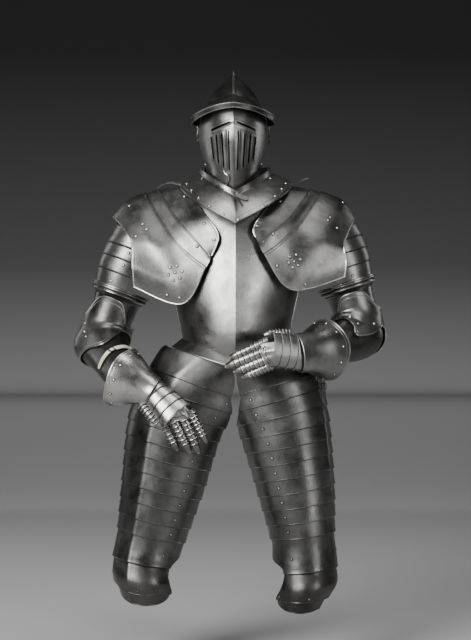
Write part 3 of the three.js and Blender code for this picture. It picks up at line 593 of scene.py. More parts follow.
def helmet():
    rows = np.r_[0, 0.006, 0.014, 0.024, 0.036, 0.05, np.linspace(0.07, 1, 40)]
    skull = Plate(skull_form, 120, rows, ring=True, pole=True)
    parts = [skull.mesh(), skull.bead(np.linspace(0, 1, 161), 1, -0.7, 1.5), pin(-1), pin(1)]
    piece("skull", parts, "dark", cad="helmet_skull")
    down = np.linspace(0.03, 0.72, 60)
    # The comb is a bead of bright steel on the dark skull, a painted highlight along its crest.
    piece("comb", [skull.bead(0.5, down, -1.2, lerp(3.1, 2.7, ramp(0, 0.25, down)))], "bright")
    visor = Plate(visor_form, 150, 110, lift=slot_lips)
    visor = piece("visor", [visor.mesh()], "steel", "visor", "helmet_visor")
    cut(visor, [slot_bar(*bar) for bar in slot_bars()] + pin_holes())
    bevor = Plate(bevor_form, 90, 24)
    parts = [bevor.mesh(), bevor.bead(np.linspace(0.1, 0.9, 80), 1, -0.6, 1.4)]
    piece("bevor", parts, "steel", cad="helmet_bevor")
    peak = Plate(peak_form, 120, 20)
    cut(piece("peak", [peak.mesh()], "dark", "peak", "helmet_peak"), pin_holes())
    band = Plate(band_form(peak), 110, 6)
    piece("peak_band", [band.mesh()], "dark", "peak")
    # The peak's rims are in lighter steel than the peak, painted highlights along its edges.
    rim = peak.bead(np.linspace(0.07, 0.93, 100), 1, -0.6, 1.9)
    piece("peak_edge", [rim, band.bead(np.linspace(0, 1, 110), 1, -0.6, 1.3)], "steel", "peak")
    turn, height, off = np.array(HOOK, float).T
    hook = face_point(turn * DEG, height)
    hook = hook * (1 + off / np.hypot(hook[:, 0], hook[:, 1]))[:, None] * vec(1, 1, 0) + hook * vec(0, 0, 1)
    piece("hook", [tube(through(hook, np.linspace(0, 5, 60)) + PIVOT, 1.7)], "bright", cad="helmet_hook")
    piece("bevor_rivets", rivets(bevor, [(0.2, 0.8), (0.8, 0.8), (0.12, 0.5), (0.88, 0.5)]), "rivet")


# ------------------------------------------------------------------ gorget
# Half width, front and back depth, how tall the rim is, and heights at the point, the sides and the nape.
COLLAR = dict(half=86, front=107, back=94, tall=15, point=-4, side=66, nape=72)
GORGET = dict(half=139, front=160, back=142, point=-69, side=44, nape=-18)
PINCH = 0.06  # how much the collar's plan is drawn in towards the bevor, halfway between front and side
RIM = 0.25  # the share of v that the standing rim of the collar takes


def ring_point(size, half, turn, front_power, back_rise):
    part = np.arccos(np.cos(turn)) / (90 * DEG)
    depth = np.where(np.cos(turn) > 0, size["front"], size["back"])
    low = lerp(size["point"], size["side"], np.minimum(part, 1) ** front_power)
    high = lerp(size["side"], size["nape"], np.maximum(part - 1, 0) ** back_rise)
    return xyz(half * np.sin(turn), -depth * np.cos(turn), np.where(part <= 1, low, high))


def gorget_form(start, end, reach):
    def form(u, v):
        turn = lerp(start, end, u) * DEG
        root = ring_point(COLLAR, COLLAR["half"] + reach, turn, 0.85, 1)
        pinch = 1 - PINCH * np.where(np.cos(turn) > 0, np.sin(2 * turn) ** 2, 0)
        root = root * xyz(pinch, pinch, 1 + 0 * u)
        up = 1 - np.minimum(v / RIM, 1)
        rim = root * lerp(vec(1, 1, 1), vec(0.975, 0.975, 1), up[..., None])
        rim = rim + xyz(0 * u, 0 * u, COLLAR["tall"] * up)
        w = np.maximum((v - RIM) / (1 - RIM), 0)
        edge = ring_point(GORGET, GORGET["half"] + reach, turn, 0.95, 1.3)
        swell = np.sin(np.pi * w)
        keel = 3 * fade(root[..., 0], 10) * swell
        stand = xyz(0 * u, np.where(np.cos(turn) > 0, -keel, keel), 3 * swell)
        return np.where((v < RIM)[..., None], rim, lerp(root, edge, w[..., None]) + stand)

    return form


# Rivets of the front plate, at x, z.
GORGET_RIVETS = [(-122, 38), (-109, 18), (-89, -4), (-63, -26), (-30, -47), (4, -59), (37, -44), (71, -23)]
GORGET_RIVETS += [(96, 1), (114, 22), (125, 38), (-83, 50), (86, 50)]


def gorget():
    rows = np.r_[np.linspace(0, RIM, 6), np.linspace(RIM + 0.03, 1, 24)]
    along = np.linspace(0, 1, 120)
    front = Plate(gorget_form(-88, 88, 0), 110, rows, lift=3.4)
    beads = ((0, -0.8, 2.0), (RIM, -0.3, 1.1), (1, -0.8, 2.0), (0.9, -0.4, 1.0))
    parts = [front.mesh()] + [front.bead(along, *bead) for bead in beads]
    piece("gorget_front_plate", parts, "steel", cad="gorget_front")
    piece("gorget_rivets", rivets_at(front, GORGET_RIVETS), "rivet")
    collar_catch(front)
    back = Plate(gorget_form(80, 280, -3), 100, rows, out=-1)
    parts = [back.mesh(), back.bead(along, 0, -0.8, 2.0), back.bead(along, 1, -0.8, 2.0)]
    piece("gorget_back_plate", parts, "steel", cad="gorget_back")
    heads = rivets(back, [(at, 0.86) for at in np.linspace(0.08, 0.92, 9)], 3.0, 2.0)
    piece("gorget_back_rivets", heads, "rivet")


def collar_catch(front):
    """The leaf that closes the collar at the front, and the thin spring under it."""
    t = np.linspace(0, 1, 9)[:, None]
    leaf, spring = 13 * (1 - (2 * t[:, 0] - 1) ** 4 * 0.75), lerp(5.5, 2.5, t[:, 0])
    for name, start, end, off, width, thick, finish in (
        ("collar_catch", (3, 4), (30, -10), 4, leaf, 2.6, "bright"),
        ("collar_catch_spring", (4, -4), (18, -25), 2.5, spring, 2.0, "dark"),
    ):
        first, last = (front.at(*front.find(*place))[0] for place in (start, end))
        line = lerp(first, last, t) + vec(0, -off, 1)
        piece(name, [ribbon(line, vec(0, -1, 0.35), width, thick)], finish)


# ------------------------------------------------------------------ cuirass
# Height, half width, front depth and back depth.
TORSO = table(
    [(-420, 132, 140, 96), (-392, 132, 148, 94), (-345, 133, 163, 94), (-290, 143, 163, 102)]
    + [(-230, 156, 154, 112), (-170, 166, 141, 118), (-100, 168, 122, 118), (-40, 150, 103, 108)]
    + [(10, 120, 90, 96)]
)
FLANGE = 0.9  # where along v the trunk's plates turn out into the flange that the tassets hang from


def torso_point(turn, z):
    half, front, back = TORSO(z)
    facing = np.cos(turn)
    x = half * np.sin(turn)
    keel = np.where(facing > 0, 11 * fade(x, 34), 0)
    return xyz(x, -np.where(facing > 0, front, back) * facing - keel, z)


def spread(z):
    """How far round the trunk the plates reach at height z, in degrees."""
    return 36 + 14 * ramp(40, 130, -z) + 38 * ramp(120, 190, -z)


def flanged(p, turn, v):
    """Turns the plate's last rows out and down, into the flange."""
    edge = np.maximum(v - FLANGE, 0) / (1 - FLANGE)
    return p + xyz(np.sin(turn), -np.cos(turn), 0) * (25 * edge)[..., None] - xyz(0 * v, 0 * v, 20 * edge)


def breast_form(u, v):
    t = 2 * u - 1
    w = np.minimum(v / FLANGE, 1)
    turn = t * spread(lerp(-18, -345, w)) * DEG
    top = -34 + 30 * np.abs(t) ** 1.5
    bottom = lerp(-392, -345, np.abs(np.sin(turn)) ** 1.1)
    return flanged(torso_point(turn, lerp(top, bottom, w)), turn, v)


def back_form(u, v):
    t = 2 * u - 1
    w = np.minimum(v / FLANGE, 1)
    turn = (180 - t * spread(lerp(6, -345, w))) * DEG
    top = 22 - 14 * (1 - np.abs(t)) ** 2
    return flanged(torso_point(turn, lerp(top, -353, w)), turn, v)


def cuirass():
    rows = np.r_[np.linspace(0, FLANGE, 70), np.linspace(FLANGE + 0.01, 1, 8)]
    along = np.linspace(0, 1, 140)
    breast = Plate(breast_form, 120, rows)
    parts = [breast.mesh(), breast.bead(along, 1, -0.8, 2.2), breast.bead(along, 0, -0.8, 2.6)]
    parts += [breast.bead(side, np.linspace(0, FLANGE, 80), -0.8, 2.4) for side in (0, 1)]
    piece("breast", parts, "steel", cad="breastplate")
    back = Plate(back_form, 100, rows, lift=-STEP)
    parts = [back.mesh(), back.bead(along, 1, -0.8, 2.2), back.bead(along, 0, -0.8, 2.4)]
    piece("back", parts, "steel", cad="backplate")


# ------------------------------------------------------------------ pauldrons
# Each section runs from the front low point over the shoulder to the back low point, from the neck outwards.
# Points are x away from the middle, y and z.
RIGHT_PAULDRON = [
    [(57, -138, -145), (42, -136, -94), (76, -106, -42), (133, -8, 36), (96, 98, -20), (80, 128, -130)],
    [(60, -141, -151), (99, -124, -101), (139, -88, -56), (190, 0, 25), (150, 90, -34), (104, 122, -140)],
    [(70, -142, -173), (116, -125, -138), (163, -92, -88), (224, 4, 13), (184, 88, -52), (126, 116, -160)],
    [(127, -128, -260), (152, -128, -202), (208, -98, -108), (268, 6, -7), (226, 86, -86), (150, 108, -222)],
    [(246, -82, -218), (249, -88, -168), (254, -76, -104), (303, 6, -44), (268, 78, -108), (250, 78, -212)],
]
LEFT_PAULDRON = [
    [(48, -137, -99), (44, -132, -76), (66, -112, -40), (130, -8, 36), (96, 98, -20), (80, 128, -130)],
    [(56, -140, -115), (90, -128, -86), (132, -92, -48), (186, 0, 26), (150, 90, -34), (104, 122, -140)],
    [(68, -142, -141), (108, -126, -112), (158, -88, -62), (212, 4, 16), (184, 88, -52), (126, 116, -160)],
    [(134, -128, -226), (160, -124, -176), (214, -98, -100), (264, 6, -5), (226, 86, -86), (150, 108, -210)],
    [(264, -84, -194), (268, -88, -158), (264, -78, -112), (294, 6, -46), (268, 78, -108), (252, 78, -200)],
]
PAULDRON = dict(right=RIGHT_PAULDRON, left=LEFT_PAULDRON)


def pauldron_form(arm, start, end):
    sections = np.array(PAULDRON[arm["name"]], float) * vec(arm["side"], 1, 1)

    def form(u, v):
        u, v = np.broadcast_arrays(u, v)
        along = np.stack([through(section, u * 5) for section in sections])
        return through(along, lerp(start, end, v))

    return form


# Rivets of the neck lame, the upper lame and the main plate, at x, z.
PAULDRON_RIVETS = {
    "right": [
        [(-127, 6), (-76, -67), (-52, -107), (-64, -146)],
        [(-93, -122), (-115, -147)],
        [(-228, -66), (-218, -78), (-264, -16), (-244, -95), (-166, -240), (-135, -247)]
        + rosette(-146, -186, 17),
    ],
    "left": [
        [(110, -7), (52, -72), (66, -111)],
        [(91, -92), (115, -116), (87, -140)],
        [(268, -6), (233, -47), (226, -56), (250, -73), (100, -169), (170, -214)]
        + rosette(142, -158, 15),
    ],
}
# The loop that stands on each shoulder: x away from the middle, y and z.
SHOULDER_LOOP = {
    "right": [(126, -30, 34), (142, -28, 38), (164, -26, 42), (184, -24, 36), (196, -22, 26)],
    "left": [(128, -30, 34), (142, -30, 38), (158, -29, 44), (171, -27, 50), (180, -25, 53)],
}


def pauldron(arm):
    name, long = arm["name"], np.linspace(0.0, 1.0, 150)
    neck = Plate(pauldron_form(arm, 0, 1.16), 110, 16)
    upper = Plate(pauldron_form(arm, 1.02, 2.12), 110, 14, lift=STEP)
    main = Plate(pauldron_form(arm, 2.0, 4), 130, 50, lift=2 * STEP + 2)
    parts = [neck.mesh(), neck.bead(long, 0.09, 0.1, 1.2)]
    piece(f"{name}_neck_lame", parts, "arm", cad=f"{name}_pauldron_neck_lame")
    parts = [upper.mesh()] + [upper.bead(long, at, 0.0, 1.1) for at in (0.0, 0.07)]
    piece(f"{name}_upper_lame", parts, "arm", cad=f"{name}_pauldron_upper_lame")
    parts = [main.mesh()] + [main.bead(long, at, 0.0, 1.1) for at in (0.0, 0.04)]
    piece(f"{name}_main_pauldron", parts, "arm", cad=f"{name}_pauldron_main")
    # The rims are in bright steel, painted highlights along the pauldron's edges.
    edges = [main.bead(long, 1, -0.8, 2.0), neck.bead(long, 0, -0.6, 2.3)]
    edges += [main.bead(at, np.linspace(0, 1, 60), -0.8, 1.9) for at in (0, 1)]
    piece(f"{name}_pauldron_edges", edges, "bright")
    # Near-black tubes of painted shade in the gaps under the edges of the lames above.
    piece(f"{name}_pauldron_shade_lines", [upper.bead(long, 0, -2.0, 1.3), main.bead(long, 0, -2.2, 1.3)], "gap_shade")
    loop = through(np.array(SHOULDER_LOOP[name]) * vec(arm["side"], 1, 1), np.linspace(0, 4, 30))
    piece(f"{name}_shoulder_loop", [ribbon(loop, vec(0, -0.6, 0.8), 7, 2.4)], "arm")
    heads = [head for at in zip((neck, upper, main), PAULDRON_RIVETS[name]) for head in rivets_at(*at)]
    piece(f"{name}_pauldron_rivets", heads, "rivet")


# ------------------------------------------------------------------ arms
ELBOW_ARC = 75  # the radius that the middle of the arm bends with
# Places of the joints, and where each finger and the thumb start and end. wide widens the hand at the wrist.
RIGHT_ARM = dict(
    name="right",
    side=-1,
    lame_top=-284,
    shoulder=vec(-226, 10, -62),
    elbow=vec(-334, 8, -352),
    cuff=vec(-271, -178, -436),
    wrist=vec(-197, -214, -468),
    knuckle=vec(-143, -246, -517),
    back=vec(-0.1, -0.85, 0.5),
    wide=0,
    fingers=[
        ((-177, -236, -524), (-139, -221, -604), 10),
        ((-153, -249, -520), (-109, -226, -609), 11),
        ((-129, -252, -513), (-88, -226, -611), 11),
        ((-108, -248, -512), (-70, -226, -586), 10),
    ],
    thumb=((-220, -258, -496), (-203, -274, -520), (-174, -258, -553)),
)
LEFT_ARM = dict(
    name="left",
    side=1,
    lame_top=-268,
    shoulder=vec(230, 10, -62),
    elbow=vec(320, 12, -336),
    cuff=vec(218, -142, -372),
    wrist=vec(148, -228, -378),
    knuckle=vec(92, -258, -370),
    back=vec(0.3, -0.95, 0.1),
    wide=9,
    fingers=[
        ((78, -248, -349), (-11, -222, -389), 10),
        ((82, -258, -368), (-20, -224, -409), 11),
        ((86, -257, -387), (0, -223, -421), 11),
        ((89, -248, -404), (20, -220, -434), 10),
    ],
    thumb=((130, -208, -334), (100, -222, -328), (70, -214, -336)),
)
ARMS = [RIGHT_ARM, LEFT_ARM]
for arm in ARMS:
    down = unit(arm["elbow"] - arm["shoulder"])
    fore = unit(arm["cuff"] - arm["elbow"])
    inward = unit(fore - down * np.dot(down, fore))
    hinge = np.cross(down, inward) * -arm["side"]
    arm.update(down=down, fore=fore, inward=inward, hinge=hinge, bend=np.arccos(np.dot(down, fore)))

# Way down the arm from the elbow, half width and half depth.
ARM = table(
    [(-300, 68, 74), (-235, 77, 84), (-190, 79, 79), (-140, 71, 70), (-100, 60, 60)]
    + [(-40, 57, 58), (20, 56, 58), (80, 54, 52), (150, 47, 45), (200, 42, 40)]
)


def arm_point(arm, swing, s, grow=0.0):
    """A point of the arm's skin, s down the arm from the elbow and grow outside the arm's own section.

    swing turns round the arm: 0 faces out along the elbow's axis, 90 is the elbow's point, and -90 is the
    inside of the bend."""
    swing, s = np.broadcast_arrays(swing, s)
    lead = ELBOW_ARC * np.tan(arm["bend"] / 2)
    turned = (np.clip((s + lead) / (2 * lead), 0, 1) * arm["bend"])[..., None]
    out = arm["down"] * np.sin(turned) - arm["inward"] * np.cos(turned)
    centre = arm["elbow"] - arm["down"] * lead + arm["inward"] * ELBOW_ARC
    at = centre + out * ELBOW_ARC + arm["down"] * np.minimum(s + lead, 0)[..., None]
    at = at + arm["fore"] * np.maximum(s - lead, 0)[..., None]
    half, deep = ARM(s)
    across = arm["hinge"] * ((half + grow) * np.cos(swing))[..., None]
    return at + across + out * ((deep + grow) * np.sin(swing))[..., None]


def arm_lames(arm):
    """Four lames on the outside of the upper arm, as one stepped wall."""
    edges = [arm["lame_top"], -240, -208, -173, -138]

    def form(u, v):
        swing = lerp(-78, 99, u) * DEG
        return arm_point(arm, swing, np.interp(v, [0, 0.25, 0.5, 0.75, 1], edges))

    starts, ends = (0, 0.254, 0.504, 0.754), (0.246, 0.496, 0.746, 1)
    rows = np.concatenate([np.linspace(start, end, 8) for start, end in zip(starts, ends)])
    lames = Plate(form, 60, rows, lift=lambda u, v: 1.8 * np.where(v < 0.999, (v * 4) % 1, 1) - 2.6)
    name, across = arm["name"], np.linspace(0, 1, 60)
    # Near-black tubes of painted shade in the gaps under the lames' edges.
    shade_lines = [lames.bead(across, at + 0.012, -0.1, 1.2) for at in (0.25, 0.5, 0.75)]
    piece(f"{name}_arm_shade_lines", shade_lines, "gap_shade")
    beads = [lames.bead(across, at - 0.008, 0.2, 1.3) for at in (0.25, 0.5, 0.75)]
    piece(f"{name}_arm_lames", [lames.mesh()] + beads, "arm", cad=f"{name}_upper_arm_lames")
    heads = rivets(lames, [(0.2, 0.93), (0.75, 0.93), (0.12, 0.6), (0.12, 0.35)], 2.7, 1.9)
    piece(f"{name}_arm_lame_rivets", heads, "rivet")


def upper_cannon(arm):
    def form(u, v):
        s = lerp(-137, -40, v)
        ribs = 5 * (1 - ramp(-120, -112, s)) + 2.2 * bump(s + 131, 2.4) + 2.2 * bump(s + 122, 2.4)
        return arm_point(arm, u * 360 * DEG, s, ribs - 3)

    rows = np.r_[np.linspace(0, 0.22, 26), np.linspace(0.25, 1, 14)]
    cannon = Plate(form, 72, rows, ring=True)
    name, around = arm["name"], np.linspace(0, 1, 91)
    piece(f"{name}_cannon", [cannon.mesh()], "arm", cad=f"{name}_upper_cannon")
    at = lambda s: (s + 137) / 97
    # The ring's beads are in bright steel, painted highlights on its ribs.
    rings = [cannon.bead(around, at(s), 0.3, size) for s, size in ((-136, 1.9), (-131, 1.4), (-122, 1.4))]
    piece(f"{name}_turning_ring", rings, "bright")
    # Near-black tubes of painted shade in the grooves of the turning ring.
    shade_lines = [cannon.bead(around, at(s), 0.1, 1.2) for s in (-126.5, -115)]
    piece(f"{name}_turning_ring_shade_lines", shade_lines, "gap_shade")


# How far down the forearm the couter's lower edge reaches, by the turn round the arm.
COUTER_FOOT = {
    "right": [(-180, 46), (-150, 12), (-130, 4), (-112, 26), (-93, 68), (-72, 99), (-53, 115)]
    + [(-35, 118), (-19, 108), (5, 80), (40, 48), (90, 30), (140, 34), (180, 46)],
    "left": [(-180, 50), (-150, 26), (-130, 14), (-110, 40), (-90, 68), (-68, 87), (-40, 101)]
    + [(-6, 112), (8, 14), (20, 1), (36, 1), (50, 11), (70, 18), (90, 20), (140, 26), (180, 50)],
}
# At x, z.
ELBOW_RIVETS = {
    "right": [(-373, -308), (-373, -329), (-368, -341)],
    "left": [(341, -309), (282, -292), (300, -310)],
}


def elbow_point(swing, s):
    """How much of the elbow's point shows: it stands out at the outer side, a little below the bend."""
    return bump(s - 20, 34) * ramp(-0.2, 1, np.sin(swing + 20 * DEG))


def couter(arm):
    foot = table(COUTER_FOOT[arm["name"]])

    def form(u, v):
        swing = u * 360 - 180
        arch = ramp(0.75, 1, np.cos((swing + 56) * DEG / 2) ** 2)
        s = lerp(lerp(-50, -108, arch), foot(swing)[0], v)
        return arm_point(arm, swing * DEG, s, 7 + 17 * elbow_point(swing * DEG, s) - 1.9 * ramp(0.7, 1, v))

    cup = Plate(form, 96, 40, ring=True)
    name, around = arm["name"], np.linspace(0, 1, 145)
    piece(f"{name}_elbow", [cup.mesh()], "arm", cad=f"{name}_couter")
    # The rims are in bright steel, painted highlights along the couter's edges.
    edges = [cup.bead(around, at, -0.4, size) for at, size in ((0, 2.0), (0.05, 1.0), (1, 1.9), (0.955, 1.0))]
    piece(f"{name}_elbow_edges", edges, "bright")
    # Near-black tubes of painted shade under the couter's upper and lower edges.
    piece(f"{name}_elbow_shade_lines", [cup.bead(around, at, -2.2, 1.4) for at in (0, 1)], "gap_shade")
    piece(f"{name}_elbow_rivets", rivets_at(cup, ELBOW_RIVETS[name]), "rivet")


# The strap that closes the right forearm, at x, z.
FOREARM_STRAP = [(-325, -416), (-318, -398), (-308, -383), (-297, -374), (-283, -369), (-268, -367)]
FOREARM_STRAP += [(-252, -372)]


def lower_cannon(arm):
    end = np.linalg.norm(arm["cuff"] - arm["elbow"]) + 20

    def form(u, v):
        swing = (u * 360 - 180) * DEG
        inside = ramp(-0.35, 0.9, -np.sin(swing))
        s = lerp(lerp(-16, -10, inside), end, v)
        return arm_point(arm, swing, s, 1 + 13 * elbow_point(swing, s))

    cannon = Plate(form, 72, 40, ring=True)
    piece(f"{arm['name']}_forearm", [cannon.mesh()], "dark", cad=f"{arm['name']}_lower_cannon")
    if arm["name"] == "right":
        forearm_strap(cannon)


def forearm_strap(cannon):
    """The buff strap round the right forearm, and its buckle."""
    found = [cannon.at(*cannon.find(x, z), 3.2) for x, z in FOREARM_STRAP]
    t = np.linspace(0, len(found) - 1, 40)
    points = through(np.array([p for p, _ in found]), t)
    normals = unit(through(np.array([n for _, n in found]), t))
    width = 12.5 * (1 - 0.35 * bump(np.linspace(0, 1, 40), 0.06))
    piece("right_forearm_strap", [ribbon(points, normals, width, 3.0)], "buff")
    middle, facing = points[19], normals[19]
    along = unit(points[21] - points[17])
    side = np.cross(along, facing)
    signs = ((-1, -1), (-1, 1), (1, 1), (1, -1))
    corners = [middle + along * a * 6.5 + side * b * 8.5 + facing * 2.2 for a, b in signs]
    parts = [tube(corners, 1.5, closed=True), tube(corners[:2], 1.9)]
    piece("right_forearm_buckle", parts, "dark")


# Share of the way from the cuff's mouth to the wrist, half width and half depth.
CUFF = table([(-0.1, 75, 72), (0, 73, 70), (0.3, 62, 60), (0.65, 46, 44), (1, 37, 33), (1.3, 37, 31)])


def axes(start, end, back):
    """Unit directions along start to end, out of the back of the hand, and across it."""
    along = unit(end - start)
    out = unit(back - along * np.sum(along * back, axis=-1, keepdims=True))
    return along, out, np.cross(along, out)


GAUNTLET = dict(right="bright", left="steel")  # the finish of each cuff and hand


def cuff(arm):
    along, out, across = axes(arm["cuff"], arm["wrist"], arm["back"])
    length = np.linalg.norm(arm["wrist"] - arm["cuff"])

    def form(u, v):
        swing = (u * 360 - 180) * DEG
        part = lerp(-0.02 * np.cos(4 * swing), 1 + 0.16 * np.cos(swing), v)
        half, deep = CUFF(part)
        side = across * ((half + arm["wide"] * ramp(0.4, 1, part)) * np.sin(swing))[..., None]
        at = arm["cuff"] + along * (part * length)[..., None]
        return at + side + out * (deep * np.cos(swing))[..., None]

    bell = Plate(form, 90, 30, ring=True)
    name, around = arm["name"], np.linspace(0, 1, 121)
    beads = [bell.bead(around, *bead) for bead in ((0, -0.8, 2.3), (0.07, 0, 0.9), (1, -0.4, 1.4))]
    piece(f"{name}_cuff", [bell.mesh()] + beads, GAUNTLET[name], cad=f"{name}_gauntlet_cuff")
    heads = rivets(bell, [(at, 0.15) for at in np.linspace(0.04, 0.96, 11)], 2.8, 2.0)
    piece(f"{name}_cuff_rivets", heads, "rivet")


def hand(arm):
    """The lames of the back of the hand. Gives their plate, which the fingers start from."""
    along, out, across = axes(arm["wrist"], arm["knuckle"], arm["back"])
    length = np.linalg.norm(arm["knuckle"] - arm["wrist"]) + 12

    def form(u, v):
        swing = lerp(-96, 96, u) * DEG
        s = lerp(-7, length, v)
        side = across * (lerp(34 + arm["wide"], 41, v) * np.sin(swing))[..., None]
        rise = lerp(30.5, 22, v) * np.cos(swing) - 2
        return arm["wrist"] + along * s[..., None] + side + out * rise[..., None]

    rows = stepped(np.linspace(0, 1, 5), 6, 0.004)
    shell = Plate(form, 44, rows, lift=lambda u, v: 1.6 * np.where(v < 0.999, (v * 4) % 1, 1) - 1.4)
    name, wide = arm["name"], np.linspace(0.01, 0.99, 50)
    edges = [shell.bead(wide, v, 0.1, 1.0) for v in (0.24, 0.49, 0.74, 0.985)]
    piece(f"{name}_hand", [shell.mesh()] + edges, GAUNTLET[name], cad=f"{name}_gauntlet_hand")
    # Near-black tubes of painted shade in the gaps between the hand's lames.
    piece(f"{name}_hand_shade_lines", [shell.bead(wide, v, -0.2, 0.8) for v in (0.262, 0.512, 0.762)], "gap_shade")
    return shell


def finger_form(root, tip, radius, back, middle=None):
    """Half a tube over a finger that bends through middle, or a little towards its back."""
    root, tip = np.array(root, float), np.array(tip, float)
    middle = (root + tip) / 2 + back * 9 if middle is None else np.array(middle, float)

    def path(t):
        t = t[..., None]
        return root * (1 - t) ** 2 + middle * 2 * t * (1 - t) + tip * t * t

    def form(u, v):
        swing = lerp(-104, 104, u) * DEG
        _, out, across = axes(path(np.maximum(v - 0.01, 0)), path(np.minimum(v + 0.01, 1)), back)
        size = radius * (1 - 0.22 * v) * (1 - 0.35 * ramp(0.88, 1, v))
        return path(v) + across * (size * np.sin(swing))[..., None] + out * (size * np.cos(swing))[..., None]

    return form


SCALES = np.r_[np.linspace(0, 0.8, 8), 1.0]  # where the scales of a finger start, and the tip


def finger_plate(form):
    """The steel scales of one finger, as one stepped wall."""
    def step(u, v):
        i = np.clip(np.searchsorted(SCALES, v, side="right") - 1, 0, len(SCALES) - 2)
        return 2.1 * (v - SCALES[i]) / (SCALES[i + 1] - SCALES[i])

    return Plate(form, 18, stepped(SCALES, 5, 0.002), wall=1.2, lift=step)


def scale_edges(plate):
    return [plate.bead(np.linspace(0.04, 0.96, 18), v - 0.012, 0.3, 1.0) for v in SCALES[1:-1]]


# Near-black tubes of painted shade in the gaps under the scales' edges.
def scale_shade_lines(plate):
    return [plate.bead(np.linspace(0.04, 0.96, 18), v + 0.012, 0.2, 1.3) for v in SCALES[1:-1]]


def knuckles(arm, forms, shell):
    """The plate over the knuckles, from under the last lame of the hand to the fingers' roots."""
    _, out, across = axes(arm["wrist"], arm["knuckle"], arm["back"])

    def form(u, v):
        u, v = np.broadcast_arrays(u, v)
        t = lerp(-0.3, 3.3, u)
        tops = np.stack([finger(0.5 + 0 * u, 0.2 * v) for finger in forms])
        front = through(tops, np.clip(t, -0.12, 3.12))
        reach = np.sum((front - arm["wrist"]) * across, axis=-1) / 42
        back = shell.at(0.5 + np.arcsin(np.clip(reach, -0.9, 0.9)) / (192 * DEG), 0.97 + 0 * u, -3.2)[0]
        bone = (1.6 + 1.6 * np.cos(2 * np.pi * t)) * np.sin(np.pi * np.clip(v, 0, 1)) ** 0.7
        return lerp(back, front, ramp(0, 0.62, v)[..., None]) + out * (1 + bone)[..., None]

    return Plate(form, 72, 14, wall=1.6, out=-1)


def glove_finger(form, radius):
    """The leather under the scales, to a little past their tip."""
    t = np.linspace(0.3, 1.0, 16)
    middle = (form(0.0, t) + form(1.0, t)) / 2
    line = lerp(middle, form(0.5, t), 0.36)
    end = line[-1] + unit(middle[-1] - middle[-2]) * 5
    return tube(np.concatenate([line, [end]]), np.r_[lerp(0.72, 0.46, t) * radius, 2.0])


def gauntlet_fingers(arm, shell):
    forms = [finger_form(*finger, arm["back"]) for finger in arm["fingers"]]
    plates = [finger_plate(form) for form in forms]
    edges = [line for plate in plates for line in scale_edges(plate)]
    # The near-black lines under the scales and the knuckle plate are painted shade.
    shade_lines = [line for plate in plates for line in scale_shade_lines(plate)]
    cover = knuckles(arm, forms, shell)
    wide = np.linspace(0.01, 0.99, 70)
    edges.append(cover.bead(wide, 0.99, 0, 1.1))
    shade_lines.append(cover.bead(wide, 0.6, 0.1, 0.9))
    name = arm["name"]
    gloves = [glove_finger(form, radius) for form, (_, _, radius) in zip(forms, arm["fingers"])]
    piece(f"{name}_glove_fingers", gloves, "brown")
    parts = [plate.mesh() for plate in plates + [cover]]
    piece(f"{name}_fingers", parts, "steel", cad=f"{name}_gauntlet_fingers")
    root, middle, tip = arm["thumb"]
    thumb = finger_plate(finger_form(root, tip, 9, arm["back"], middle))
    piece(f"{name}_thumb", [thumb.mesh()], "steel", cad=f"{name}_gauntlet_thumb")
    # The scales' edges are in the bright rivet steel, painted highlights along them.
    piece(f"{name}_scale_edges", edges + scale_edges(thumb), "rivet")
    piece(f"{name}_scale_shade_lines", shade_lines + scale_shade_lines(thumb), "gap_shade")


# ------------------------------------------------------------------ legs
# Drop below the origin, x, half width, front depth, y, tilt, and how far round the inside the plates reach.
RIGHT_LEG = [
    (410, 14, 165, 122, -36, 18, 5.4),
    (423, 20, 172, 120, -36, 18, 6),
    (456, 78, 136, 114, -38, 19, 32),
    (492, 100, 132, 112, -38, 18, 45.5),
    (557, 145, 119, 108, -40, 15, 69),
    (709, 181, 100, 95, -42, 14.5, 88),
    (826, 207, 84, 84, -45, 13.5, 86),
    (862, 216, 80, 82, -47, 12, 87),
    (878, 219, 79.5, 83, -47.5, 11.6, 62),
    (893, 222, 79, 84, -48, 11, 52),
    (935, 223, 79, 97, -50, 8, 52),
    (975, 224, 62, 84, -50, 6, 82),
    (1012, 222, 50, 66, -48, 4, 82),
]
LEFT_LEG = [
    (410, 14, 150, 122, -36, 15, 6),
    (423, 20, 149, 120, -36, 15, 7),
    (456, 80, 128, 114, -38, 14, 34),
    (492, 95, 122, 112, -38, 15, 46),
    (566, 121, 111, 108, -40, 11.5, 80),
    (729, 152, 92, 93, -42, 10, 86),
    (840, 167, 77, 82, -45, 7, 86),
    (878, 170, 77, 81, -47, 6, 86),
    (895, 170.5, 77.5, 82, -47.5, 5.8, 50),
    (912, 171, 78, 83, -48, 5.5, 42),
    (952, 172, 77, 96, -50, 4, 53),
    (994, 160, 58, 84, -50, 2, 82),
    (1032, 153, 46, 66, -48, 0, 82),
]
# The knee's drop, where round the leg its ridge and its inner rivets lie, and how far its outer corner rises.
LEGS = [
    dict(name="right", side=-1, knee=893, keel=27, row=33, rise=20, section=table(RIGHT_LEG)),
    dict(name="left", side=1, knee=912, keel=57, row=26, rise=8, section=table(LEFT_LEG)),
]
LAP = 9  # how far each lame reaches up under the one above it


def leg_point(leg, turn, drop):
    turn, drop = np.broadcast_arrays(turn, drop)
    x, half, front, y, tilt, _ = leg["section"](drop)
    keel = 5 * fade(turn / DEG - leg["keel"], 9)
    wide = (half + keel) * np.sin(turn)
    x = leg["side"] * (x + wide * np.cos(tilt * DEG))
    return xyz(x, y - (front + keel) * np.cos(turn), wide * np.sin(tilt * DEG) - drop)


INSIDE = 0.45  # the share of a lame's columns that lies on the inside of the leg


